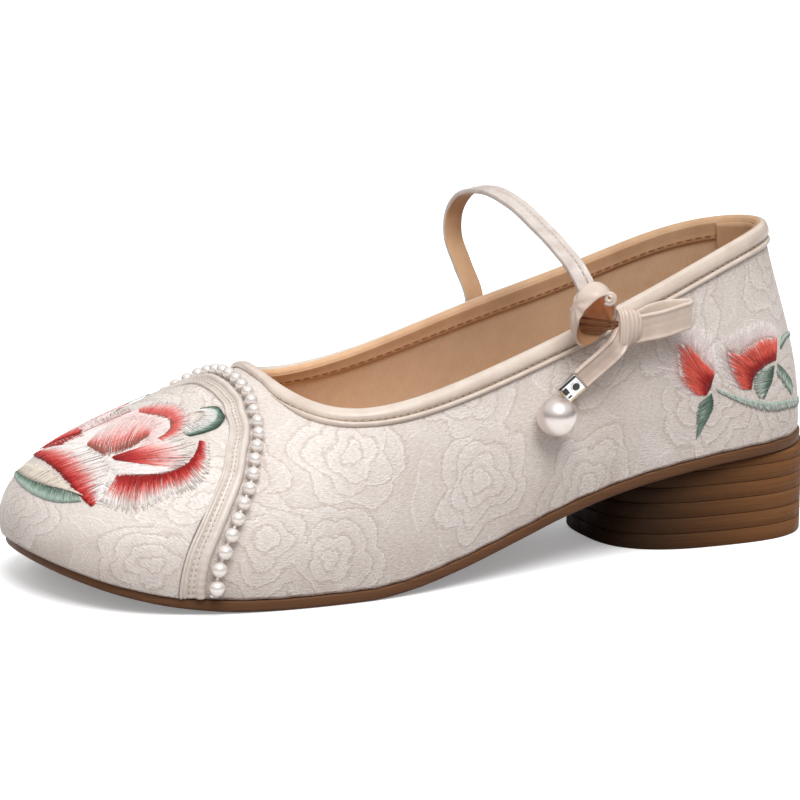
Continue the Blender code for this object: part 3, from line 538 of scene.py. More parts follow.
def makeRubber(name, look):
    material, tree, shader, flat = newMaterial(name, Specular_IOR_Level=0.14)
    level = 1 / look["streakLong"]
    stretched = addNode(tree, "Mapping", {"Vector": flat, "Scale": (level, level, 1 / look["streakHigh"])})
    streaks = addNode(tree, "TexNoise", {"Vector": stretched, "Scale": 1.0, "Detail": 3.0, "Roughness": 0.65})
    scuffs = addNode(tree, "TexNoise", {"Vector": flat, "Scale": 0.35, "Detail": 5.0})
    tone = addNode(tree, "MapRange", {"Value": streaks, "From Min": 0.3, "From Max": 0.72})
    brown = addNode(tree, "Mix", {0: tone, 6: linear(look["streak"]), 7: linear(look["body"])},
                    data_type="RGBA")
    # painted shade: darker towards the front of the heel, for the shade under the arch; the sole's span lies
    # ahead of it, so the sole stays even
    along = addNode(tree, "SeparateXYZ", [addNode(tree, "TexCoord").outputs["Object"]]).outputs["X"]
    front, rear = look["paintedShadeFront"]
    paintedShade = addNode(tree, "MapRange", {"Value": along, "From Min": front, "From Max": rear,
                                         "To Min": look["paintedShadeDark"]}, interpolation_type="SMOOTHSTEP")
    paintedShadeFront = addNode(tree, "VectorMath", {0: brown.outputs[2], "Scale": paintedShade}, operation="SCALE")
    smooth, coarse = look["rough"]
    gloss = addNode(tree, "MapRange", {"Value": scuffs, "From Min": 0.3, "From Max": 0.7,
                                       "To Min": smooth, "To Max": coarse})
    relief = addNode(tree, "Bump", {"Strength": 0.15, "Distance": 0.0002, "Height": streaks})
    feed(tree, shader, {"Base Color": paintedShadeFront, "Roughness": gloss, "Normal": relief})
    return material


# moulded imitation pearl: milky lacquer with a clear coat, faintly pink and grey where the lacquer is thin
pearlLook = {"milk": "EFE7E0", "blush": "DCCDC7", "cloud": 3.2, "metal": 0.75}
seedPearlLook = {"milk": "F6F0EA", "blush": "E8DDD6", "cloud": 3.2, "metal": 0.4}


def makePearl(name, look):
    material, tree, shader, flat = newMaterial(name, Coat_Weight=1.0, Coat_Roughness=0.2, Coat_IOR=1.8,
                                               Specular_IOR_Level=0.7, Metallic=look["metal"])
    cloud = addNode(tree, "TexNoise", {"Vector": flat, "Scale": 1 / look["cloud"], "Detail": 2.0})
    milk = addNode(tree, "Mix", {0: cloud, 6: linear(look["milk"]), 7: linear(look["blush"])},
                   data_type="RGBA")
    gloss = addNode(tree, "MapRange", {"Value": cloud, "To Min": 0.28, "To Max": 0.4})
    feed(tree, shader, {"Base Color": milk.outputs[2], "Roughness": gloss})
    return material


# parts of the clasp: mirror chrome with hairline wear, brass showing at the folded edge,
# black lacquered inlay, whose strip along one long edge is a painted dark reflection of the side wall
chromeLook = {"colour": "E9E9EA", "metal": 1.0, "coat": 0.0, "wear": (1.6, 6.0), "rough": (0.036, 0.096)}
brassLook = {"colour": "CDB88F", "metal": 1.0, "coat": 0.0, "wear": (1.6, 6.0), "rough": (0.12, 0.32)}
inlayLook = {"colour": "17130F", "metal": 0.0, "coat": 0.4, "wear": (0.9, 3.0), "rough": (0.2, 0.4)}


def makeClaspFinish(name, look):
    material, tree, shader, flat = newMaterial(name, Metallic=look["metal"],
                                               Base_Color=linear(look["colour"]), Coat_Weight=look["coat"])
    fine, detail = look["wear"]
    wear = addNode(tree, "TexNoise", {"Vector": flat, "Scale": fine, "Detail": detail})
    smooth, coarse = look["rough"]
    gloss = addNode(tree, "MapRange", {"Value": wear, "To Min": smooth, "To Max": coarse})
    feed(tree, shader, {"Roughness": gloss})
    return material


# embroidery floss: twisted rayon, each stitch its own dyed colour, bright along the strand
flossLook = {"twist": 0.5, "dim": (0.82, 1.06), "rough": (0.3, 0.5)}


def makeThread(name, look):
    material, tree, shader, flat = newMaterial(name, Sheen_Weight=0.08, Sheen_Roughness=0.3,
                                               Specular_IOR_Level=0.3)
    dye = addNode(tree, "Attribute", attribute_name="dye")
    strand = addNode(tree, "TexNoise", {"Vector": flat, "Scale": 1 / look["twist"], "Detail": 2.0})
    darkest, lightest = look["dim"]
    dim = addNode(tree, "MapRange", {"Value": strand, "From Min": 0.3, "From Max": 0.7,
                                     "To Min": darkest, "To Max": lightest})
    colour = addNode(tree, "VectorMath", {0: dye.outputs["Color"], "Scale": dim}, operation="SCALE")
    smooth, coarse = look["rough"]
    gloss = addNode(tree, "MapRange", {"Value": strand, "To Min": smooth, "To Max": coarse})
    feed(tree, shader, {"Base Color": colour, "Roughness": gloss})
    return material


jacquard = makeJacquard("jacquardSatin", jacquardLook)
plainSatin = makePlainSatin("bindingSatin", bindingLook)
collarSatin = makePlainSatin("collarSatin", collarLook)
strapSatin = makePlainSatin("strapSatin", strapLook)
capSatin = makePlainSatin("capBindingSatin", capBindingLook)
liningTwillWithPaintedLight = makeLining("liningTwillWithPaintedLight", liningLook)
sockLeather = makeLeather("sockLeather", leatherLook)
facingLeatherWithPaintedLight = makeLeather("facingLeatherWithPaintedLight", facingLook)
paintedLightHollowSatin = makeLeather("paintedLightHollowBack", hollowPaintedLightLook)
pleatPaintedShadeSatin = makeLeather("pleatPaintedShadeBack", pleatPaintedShadeLook)
soleRubber = makeRubber("soleRubber", soleLook)
heelRubber = makeRubber("heelRubber", heelLook)
nacre = makePearl("pearlLacquer", pearlLook)
seedNacre = makePearl("seedPearlLacquer", seedPearlLook)
chrome = makeClaspFinish("claspChrome", chromeLook)
brass = makeClaspFinish("claspBrass", brassLook)
inlay = makeClaspFinish("claspInlay", inlayLook)
floss = makeThread("rayonFloss", flossLook)
print("materials made:", len(bpy.data.materials))


# cloth map of the upper: millimetres along the foot and up the side, laid flat without much stretch
girthRows, longest, waistRib, waistS, innerStart = 64, 246, 6.0, 148.0, 700.0


def sideGirths(ribs):            # way up the side at each millimetre from the toe, row by row
    points = upperPoint(ribs, np.linspace(0.0, 1.0, girthRows + 1)[:, None])
    places = np.arange(0.0, longest + 1.0)
    lines = []
    for row in points:
        order = np.argsort(row[:, 0])
        lines.append([np.interp(places, row[order, 0], row[order, axis]) for axis in (1, 2)])
    steps = np.hypot(*np.diff(np.array(lines), axis=0).transpose(1, 0, 2))
    return np.vstack([np.zeros(len(places)), np.cumsum(steps, axis=0)])


outerGirths = sideGirths(np.linspace(0.0, heelRib, 401))
innerGirths = sideGirths(np.linspace(heelRib, ribCount, 401))
footRibs = np.linspace(0.0, ribCount, 2001)
footRun = runAlong(np.stack(footLine(footRibs), axis=1))


def clothPlace(rib, share):
    rib, share = np.broadcast_arrays(np.asarray(rib, dtype=float), np.asarray(share, dtype=float))
    point = upperPoint(rib, share)
    turn = rib % ribCount
    outer = turn <= heelRib
    fromToe = np.where(outer, turn, ribCount - turn)
    row = np.clip(share, 0.0, 1.0) * girthRows
    low = np.minimum(row.astype(int), girthRows - 1)
    column = np.clip(point[..., 0], 0.0, longest - 1.0)
    left = column.astype(int)

    def lookUp(table):
        part = column - left
        lower = table[low, left] * (1 - part) + table[low, left + 1] * part
        upper = table[low + 1, left] * (1 - part) + table[low + 1, left + 1] * part
        return lower + (upper - lower) * (row - low)

    girth = np.where(outer, lookUp(outerGirths), lookUp(innerGirths))
    ribLength = np.linalg.norm(upperSlopes(rib, 0.5)[1], axis=-1) * share
    up = girth + (ribLength - girth) * blend(5.0, 7.5, fromToe)
    # behind the waist the cloth follows the edge of the foot round the heel
    run = np.interp(turn, footRibs, footRun)
    halfRun = np.where(outer, run, footRun[-1] - run)
    outerWaist, innerWaist = np.interp([waistRib, ribCount - waistRib], footRibs, footRun)
    waist = np.where(outer, outerWaist, footRun[-1] - innerWaist) - waistS
    extra = np.where(fromToe > waistRib, halfRun - ribValues(turn)[..., footS] - waist, 0.0)
    along = point[..., 0] + extra
    return np.stack([np.where(outer, along, innerStart - along), up], axis=-1)


# soft creases, given one by one: from (rib, share) to (rib, share), how wide and how deep in millimetres
def creaseDepth(points, creases):
    depth = np.zeros(points.shape[:-1])
    for ribA, shareA, ribB, shareB, width, deep in creases:
        start, end = upperPoint(ribA, shareA), upperPoint(ribB, shareB)
        along = np.clip(((points - start) @ (end - start)) / ((end - start) @ (end - start)), 0.0, 1.0)
        away = np.linalg.norm(points - start - along[..., None] * (end - start), axis=-1)
        fade = np.sin(math.pi * np.clip(along, 0.04, 0.96))
        depth -= deep * fade * (bell(away, width) - 0.45 * bell(away - 2.0 * width, width))
    return depth


# upper: one wrapped cloth, closed by a seam at the back of the heel
ribWide = 24.0                   # millimetres from rib to rib at the heel
backSeam = 1e-6                  # keeps the cloth map on its own side of the seam
upperShape = {"columns": 440, "rows": 58, "skin": 1.0, "gather": 0.16, "gatherLong": 11.0, "gatherHigh": 0.11,
              "seamDeep": 0.45, "seamWide": 0.7,
              "creases": [(3.15, 0.62, 4.05, 0.2, 4.5, 0.35), (3.5, 0.85, 4.35, 0.5, 5.0, 0.3),
                          (4.5, 0.05, 4.35, 0.4, 3.5, 0.22), (5.3, 0.05, 5.05, 0.55, 4.5, 0.3),
                          (6.1, 0.1, 6.35, 0.6, 5.0, 0.25), (7.1, 0.05, 7.0, 0.35, 4.0, 0.2),
                          (16.9, 0.6, 16.0, 0.2, 4.5, 0.35), (15.2, 0.1, 15.0, 0.6, 5.0, 0.3),
                          (13.6, 0.1, 13.8, 0.6, 5.0, 0.25)]}


def allRound(columns):           # ribs from the back seam round the toe to the back seam
    ribs = np.linspace(-heelRib, heelRib, columns + 1)
    return ribs, np.clip(ribs, -heelRib + backSeam, heelRib - backSeam)


def buildUpper(shape):
    ribs, clothRibs = allRound(shape["columns"])
    shares = np.linspace(0.0, 1.0, shape["rows"])[:, None]
    points = upperPoint(ribs, shares)
    run = runAlong(points[0])
    # the cloth is drawn in under the sole, which leaves small gathers along its lower edge
    gathers = np.sin(run / shape["gatherLong"] * math.tau + 2.2 * np.sin(run / 31.0))
    gathers = gathers * bell(shares, shape["gatherHigh"])
    seam = shape["seamDeep"] * bell((np.abs(ribs) - heelRib) * ribWide, shape["seamWide"])
    relief = creaseDepth(points, shape["creases"]) + shape["gather"] * gathers - seam
    piece = gridPiece("upperCloth", aboveUpper(ribs, shares, relief)[:, :-1], closed=True,
                      cloth=clothPlace(clothRibs, shares))
    addWall(piece, shape["skin"], innerSlot=1)
    return finishPiece(piece, [jacquard, liningTwillWithPaintedLight], "upper_satin", "upper")


# lining and the facing folded in behind the collar
liningShape = {"columns": 300, "rows": 40, "behind": 1.12, "skin": 0.8, "bottom": 0.03, "top": 0.985,
               "seamRibs": (-9.15, 9.15), "seamHigh": 0.5, "seamWide": 0.8}
facingShape = {"columns": 320, "rows": 9, "drop": 5.6, "lip": 0.25, "behind": 2.02, "skin": 0.45,
               "pressed": 0.12, "stitchDown": 4.2}


def buildLining(shape):
    ribs, clothRibs = allRound(shape["columns"])
    shares = np.linspace(shape["bottom"], shape["top"], shape["rows"])[:, None]
    seams = sum(bell((ribs - place) * ribWide, shape["seamWide"]) for place in shape["seamRibs"])
    points = aboveUpper(ribs, shares, -shape["behind"] - shape["seamHigh"] * seams)
    piece = gridPiece("lining", points[:, :-1], closed=True, cloth=clothPlace(clothRibs, shares))
    addWall(piece, shape["skin"])
    return finishPiece(piece, [liningTwillWithPaintedLight], "insole_leather")


def buildFacing(shape):
    ribs = allRound(shape["columns"])[0][:-1]
    up = unit(upperSlopes(ribs, 1.0)[1])
    rows = []
    for depth in np.linspace(shape["drop"], -shape["lip"], shape["rows"]):
        # pressed in along the stitches
        sink = shape["behind"] + shape["pressed"] * bell(depth - shape["stitchDown"], 0.5)
        row = aboveUpper(ribs, belowCollar(ribs, max(depth, 0.0)), -sink)
        rows.append(row + max(-depth, 0.0) * up)
    piece = gridPiece("collarFacing", np.array(rows), closed=True)
    addWall(piece, shape["skin"])
    return finishPiece(piece, [facingLeatherWithPaintedLight], "insole_leather")


# heel grip: a soft tan patch inside the back of the collar
gripShape = {"columns": 60, "rows": 14, "ribs": (9.02, 10.98), "start": 0.3, "deep": 21.0, "round": 7.0,
             "behind": 2.5, "skin": 0.5}


def buildHeelGrip(shape):
    ribs = np.linspace(*shape["ribs"], shape["columns"])
    corner = np.abs(ribs - heelRib) / (shape["ribs"][1] - heelRib)
    rows = []
    for t in np.linspace(1.0, 0.0, shape["rows"]):
        depth = shape["start"] + t * (shape["deep"] - shape["round"] * corner ** 4)
        rows.append(aboveUpper(ribs, belowCollar(ribs, depth), -shape["behind"]))
    piece = gridPiece("heelGrip", np.array(rows))
    addWall(piece, shape["skin"])
    return finishPiece(piece, [facingLeatherWithPaintedLight], "insole_leather")


# bound collar: satin rolled over the rim, and a flattened piping below it
collarShape = {"columns": 420, "high": 3.6, "atThroat": 2.2, "thick": 0.75, "crown": 0.35, "over": 0.85,
               "lap": 0.9, "pucker": 0.05, "puckerLong": 2.6, "tanRows": 9}
pipingShape = {"columns": 360, "endRib": 1.82, "high": 1.8, "thick": 1.2, "taper": 14.0, "tip": 0.15,
               "lift": 0.1, "pucker": 0.05, "puckerLong": 3.1}


def bindingHigh(rib):            # narrow where the pearls pass the throat
    away = np.minimum(rib % ribCount, -rib % ribCount)
    return collarShape["atThroat"] + (collarShape["high"] - collarShape["atThroat"]) * blend(1.0, 2.2, away)


def satinPucker(run, long, seed):   # small uneven gathers of a bias strip
    wave = np.sin(run / long * math.tau + 2.0 * np.sin(run / 7.3 + seed))
    return wave * (0.6 + 0.4 * np.sin(run / 11.0 + 2.0 * seed))


def buildCollarBinding(shape):
    ribs = allRound(shape["columns"])[0][:-1]
    along, up = upperSlopes(ribs, 1.0)
    out, up = unit(np.cross(along, up)), unit(up)
    rim = upperPoint(ribs, 1.0)
    high = bindingHigh(ribs)
    gap, wall = lastSizes["gap"], lastSizes["wall"]
    pucker = shape["pucker"] * satinPucker(runAlong(rim), shape["puckerLong"], 0.4)
    rings = []
    for t in np.linspace(0.0, 1.0, 9):                  # outer side, from its lower edge to the rim
        swell = math.sin(math.pi * t)
        bulge = gap + shape["thick"] * min(1.0, 3.2 * t + 0.25) + shape["crown"] * swell
        rings.append(aboveUpper(ribs, belowCollar(ribs, high * (1.0 - t)), bulge + pucker * swell))
    top = gap + shape["thick"]
    half = (top + wall + gap) / 2.0
    for turn in np.linspace(0.15, 0.97, 6) * math.pi:   # over the rim
        climb = (gap + shape["over"]) * math.sin(turn) + 0.02
        rings.append(rim + (top - half + half * math.cos(turn)) * out + climb * up)
    lap = -shape["lap"]
    for across, lift in ((wall + gap, lap), (wall + 0.1, lap), (wall + 0.1, gap), (-gap, gap)):
        rings.append(rim - across * out + lift * up)    # down inside, and back under the satin
    for down, height in ((0.5, 0.6), (1.0, 0.4)):
        rings.append(aboveUpper(ribs, belowCollar(ribs, high * down), gap * height))
    piece = tubePiece("collarBinding", np.stack(rings, axis=1)[:, ::-1], joined=True)
    finishPiece(piece, [collarSatin, facingLeatherWithPaintedLight], "binding_satin", "collar_binding")
    for face in piece.data.polygons:                    # the facing comes up to the crest on the inside
        if face.index % len(rings) < shape["tanRows"]:
            face.material_index = 1


def buildPiping(shape):
    ribs = np.linspace(shape["endRib"], ribCount - shape["endRib"], shape["columns"])
    run = runAlong(upperPoint(ribs, 1.0))
    top = bindingHigh(ribs) + lastSizes["gap"]
    full = shape["tip"] + (1.0 - shape["tip"]) * blend(0.0, shape["taper"], np.minimum(run, run[-1] - run))
    thick = shape["thick"] + shape["pucker"] * satinPucker(run, shape["puckerLong"], 1.7)
    rings = []
    for turn in np.linspace(0.0, math.pi, 11):          # half round, laid on the upper, thin at its ends
        share = belowCollar(ribs, top + full * shape["high"] * (0.5 - 0.5 * math.cos(turn)))
        rings.append(aboveUpper(ribs, share, shape["lift"] + full * thick * math.sin(turn)))
    piece = tubePiece("collarPiping", np.stack(rings, axis=1))
    return finishPiece(piece, [collarSatin], "binding_satin", "collar_piping")


# toe cap: a second layer of the same cloth, drawn smooth over the toe
capShape = {"outerRib": 2.6, "innerRib": -2.5, "corner": 0.38, "columns": 230, "rows": 96, "gap": 0.5,
            "thick": 0.9, "inset": 0.012, "tuck": 0.004, "edgeDip": 0.45, "fanReach": 118.0,
            "fanCentre": 300.0, "fanWide": 100.0,
            "creases": [(0.3, 0.02, 0.9, 0.2, 2.6, 0.3), (1.5, 0.02, 1.7, 0.2, 3.0, 0.3),
                        (2.2, 0.03, 2.05, 0.22, 2.6, 0.25), (-1.2, 0.03, -1.0, 0.2, 3.0, 0.3),
                        (-2.0, 0.03, -1.9, 0.2, 3.0, 0.25), (2.35, 0.3, 2.3, 0.55, 2.5, 0.2)]}
capEdge = [(2.6, 0.0), (2.6, 0.2), (2.6, 0.38), (2.52, 0.56), (2.23, 0.72), (1.53, 0.84), (0.8, 0.874),
           (0.0, 0.882), (-0.6, 0.874), (-1.15, 0.845), (-1.55, 0.78), (-1.95, 0.68), (-2.3, 0.54),
           (-2.5, 0.38), (-2.5, 0.2), (-2.5, 0.0)]


def capEdgeLine(count):          # cap edge from the outer sole over the vamp to the inner sole
    return evenOnUpper(smoothRoute(capEdge, 12 * count), count)[0]


def capShare(rib):               # how far up each rib the cap reaches
    line = capEdgeLine(160)
    top = line[line[:, 1] >= capShape["corner"]][::-1]
    return np.interp(rib, top[:, 0], top[:, 1])


def capCloth(rib, share, shape):   # cloth laid out like a fan about the throat
    length = np.linalg.norm(upperSlopes(rib, 0.5)[1], axis=-1)
    run = np.interp(rib % ribCount, footRibs, footRun)
    turn = np.where(run > footRun[-1] / 2.0, run - footRun[-1], run) / shape["fanWide"]
    reach = shape["fanReach"] - length * share
    return np.stack([shape["fanCentre"] + reach * np.sin(turn), shape["fanCentre"] - reach * np.cos(turn)],
                    axis=-1)


def buildToeCap(shape):
    ribs = np.linspace(shape["innerRib"] + shape["inset"], shape["outerRib"] - shape["inset"],
                       shape["columns"])
    upCap = np.linspace(0.0, 1.0, shape["rows"])[:, None]
    shares = upCap * (capShare(ribs) + shape["tuck"])
    dip = shape["edgeDip"] * blend(0.965, 1.0, upCap)
    relief = creaseDepth(upperPoint(ribs, shares), shape["creases"]) - dip
    points = aboveUpper(ribs, shares, shape["gap"] + shape["thick"] + relief)
    piece = gridPiece("toeCapCloth", points, cloth=capCloth(ribs, shares, shape))
    addWall(piece, shape["thick"] - 0.05)
    return finishPiece(piece, [jacquard], "toe_cap_satin", "toe_cap")


# bound edge of the toe cap: two fine cords, a stitched flat band and a smooth outer roll
capBindingShape = {"columns": 300, "wide": 5.5, "flare": 1.5, "pucker": 0.07, "puckerLong": 2.3,
                   "rollFrom": 0.55,
                   "section": [(-0.02, 0.95), (-0.03, 1.4), (0.0, 1.7), (0.05, 1.82), (0.095, 1.7),
                               (0.12, 1.35), (0.15, 1.35), (0.175, 1.62), (0.205, 1.7), (0.235, 1.6),
                               (0.26, 1.3), (0.33, 1.32), (0.42, 1.38), (0.52, 1.36), (0.575, 1.28),
                               (0.6, 1.45), (0.64, 1.85), (0.71, 2.15), (0.79, 2.25), (0.87, 2.15),
                               (0.94, 1.8), (0.985, 1.25), (1.0, 0.8), (1.0, 0.45), (0.5, 0.45)]}


def capBindingWide(edge):
    high = edge[:, 1] / edge[:, 1].max()
    return capBindingShape["wide"] + capBindingShape["flare"] * (1.0 - high) ** 2


def buildCapBinding(shape):
    edge = capEdgeLine(shape["columns"])
    wide = capBindingWide(edge)
    run = runAlong(upperPoint(*edge.T))
    rings = []
    for across, height in shape["section"]:
        deep = shape["pucker"] * blend(0.8, 1.6, height) * (1.0 if across > shape["rollFrom"] else 0.45)
        pucker = deep * satinPucker(run, shape["puckerLong"], across)
        rings.append(aboveUpper(*besideLine(edge, across * wide), height + pucker))
    piece = tubePiece("capBinding", np.stack(rings, axis=1))
    return finishPiece(piece, [capSatin], "binding_satin", "toe_cap_binding")


# pearls: one moulded bead, copied along the cap's edge and graded in size, on a thin cast string
pearlShape = {"atTop": 1.8, "atSole": 2.35, "space": 0.75, "lowest": 0.15, "around": 22, "rings": 14,
              "flat": 0.97, "uneven": 0.02, "string": 0.5, "stringSteps": 260, "stringHigh": 0.9,
              "stringSag": 0.55, "tailHalf": 1.35, "tailThick": 0.5, "tailEnd": 0.01, "tailSteps": 9}


def pearlPlaces(shape):          # centres and radii, the same steps as in the part's source
    edge = capEdgeLine(400)
    high = edge[:, 1] / edge[:, 1].max()
    radius = shape["atSole"] + (shape["atTop"] - shape["atSole"]) * high
    rib, share = besideLine(edge, capBindingWide(edge) + lastSizes["gap"] + radius)
    centre = aboveUpper(rib, share, radius + lastSizes["gap"])
    run = runAlong(centre)
    apex = int(np.argmax(edge[:, 1]))
    bareOuter = run[:apex][share[:apex] < shape["lowest"]].max()
    bareInner = run[apex:][share[apex:] < shape["lowest"]].min()
    places = [run[apex]]
    for way, end in ((-1.0, bareOuter), (1.0, bareInner)):
        at = run[apex]
        while (end - at) * way > 0.0:
            at += way * (2.0 * np.interp(at, run, radius) + shape["space"])
            places.append(at)
    places = np.sort(places)
    seats = sampled(np.stack([rib, share], axis=1), run, places)
    return sampled(centre, run, places), np.interp(places, run, radius), seats


def buildPearls(shape):
    bpy.ops.mesh.primitive_uv_sphere_add(segments=shape["around"], ring_count=shape["rings"], radius=1.0)
    # cast beads are a touch flat
    bead = editMesh((bpy.ops.transform.resize, {"value": (1.0, 1.0, shape["flat"])}))
    corners = np.array([vertex.co for vertex in bead.data.vertices])
    sides = [list(face.vertices) for face in bead.data.polygons]
    bpy.data.objects.remove(bead, do_unlink=True)
    spots, radii, seats = pearlPlaces(shape)
    points, faces = [], []
    for number, (spot, radius) in enumerate(zip(spots, radii)):
        points.append(spot + corners * radius * (1.0 + shape["uneven"] * math.sin(3.1 * number)))
        faces += [[corner + number * len(corners) for corner in side] for side in sides]
    pearlNodes = [f"toe_pearl_{number:02d}" for number in range(1, len(spots) + 1)]
    finishPiece(meshPiece("toePearls", np.concatenate(points), faces), [seedNacre], "pearl", *pearlNodes)
    # the string runs low between the beads and ends as a flat tail down to the sole
    steps = shape["stringSteps"]
    under = sampled(seats, np.linspace(0, 1, len(seats)), np.linspace(0, 1, steps))
    drops = aboveUpper(*under.T, shape["stringHigh"])
    middle = (1.0 - shape["stringSag"]) * smoothRoute(spots, steps) + shape["stringSag"] * drops
    finishPiece(tubePiece("pearlString", tubeRings(middle, shape["string"], 8)), [seedNacre], "pearl")
    count = shape["tailSteps"]
    tails = [flatStrip(np.full(count, rib), np.linspace(share, shape["tailEnd"], count), shape["tailHalf"],
                       shape["tailThick"]) for rib, share in (seats[0], seats[-1])]
    faces = cappedFaces(count)
    piece = meshPiece("pearlStringTails", np.concatenate(tails), np.concatenate([faces, faces + 4 * count]))
    return finishPiece(piece, [seedNacre], "pearl")


def cappedFaces(steps):          # faces of a bar with four points to a ring
    last = (steps - 1) * 4
    return np.concatenate([gridFaces(steps, 4, True), [[3, 2, 1, 0], [last, last + 1, last + 2, last + 3]]])


def tubeRings(middle, radius, around):
    forward = unit(np.gradient(middle, axis=0))
    aside = unit(np.cross(forward, upward))
    over = np.cross(aside, forward)
    turns = np.linspace(0.0, math.tau, around + 1)[:-1]
    return np.stack([middle + radius * (math.cos(t) * aside + math.sin(t) * over) for t in turns], axis=1)


def flatStrip(rib, share, halfWide, thick):   # thin strip laid down a rib
    up, normal = upperSlopes(rib, share)[1], upperNormal(rib, share)
    aside = halfWide * unit(np.cross(unit(up), normal))
    base = upperPoint(rib, share) + 0.05 * normal
    top = base + thick * normal
    return np.stack([base - aside, base + aside, top + aside, top - aside], axis=1)


# stitches: short rounded threads laid on a surface, joined into one mesh with a dye for each
threadShape = {"taper": (0.14, 0.86), "sunk": 0.06, "footHalf": 0.5, "crestHalf": 0.26}


def threadPiece(name, paths, normals, wide, high, dyes):
    count, steps = paths.shape[:2]
    aside = unit(np.cross(unit(np.gradient(paths, axis=1)), normals))
    taper = np.sqrt(np.sin(np.linspace(*threadShape["taper"], steps) * math.pi))[None, :, None]
    aside = aside * np.broadcast_to(wide, (count,))[:, None, None] * taper
    crest = paths + np.broadcast_to(high, (count,))[:, None, None] * taper * normals
    foot = paths - threadShape["sunk"] * normals
    low, high = threadShape["footHalf"] * aside, threadShape["crestHalf"] * aside
    section = [foot - low, crest - high, crest + high, foot + low]
    faces = (cappedFaces(steps)[None] + (np.arange(count) * steps * 4)[:, None, None]).reshape(-1, 4)
    piece = meshPiece(name, np.stack(section, axis=2), faces)
    spread = np.broadcast_to(dyes.reshape(count, -1, 1, 3), (count, steps, 4, 3)).reshape(-1, 3)
    colours = np.concatenate([spread, np.ones((len(spread), 1))], axis=1)
    dye = piece.data.attributes.new("dye", "FLOAT_COLOR", "POINT")
    dye.data.foreach_set("color", colours.astype(np.float32).ravel())
    return finishPiece(piece, [floss], None)


# embroidery: long-and-short stitches between a base line and a tip line, both as (rib, share)
flossColours = {"deepRed": "9C1412", "red": "C92F2A", "coral": "E0605A", "salmon": "EE9E97", "pink": "F3CFCB",
                "white": "F6EEEA", "brown": "9A5A4C", "teal": "76917F", "darkTeal": "425C4E",
                "lightTeal": "B0C4B7", "mist": "D0DCD4", "cream": "E9DDCF", "lilac": "EADFE0",
                "flame": "E56353", "stem": "C3CBC1"}
stitchShape = {"pitch": 0.24, "wide": 0.3, "high": 0.16, "steps": 4, "ragged": 0.5, "overlap": 0.35,
               "sway": 1.2, "firstEdge": (-0.03, 0.05), "lastEdge": (-0.16, 0.05), "wideSpread": (0.8, 1.15),
               "patchLift": 0.018, "rowLift": 0.03, "liftSpread": 0.08, "dyeDrift": 0.07,
               "shades": (0.7, 0.87, 0.96, 1.04), "shadeOdds": (0.1, 0.2, 0.4, 0.3)}
fringeStitches = {**stitchShape, "wide": 0.22, "high": 0.05, "shades": (0.93, 0.98, 1.02, 1.05)}
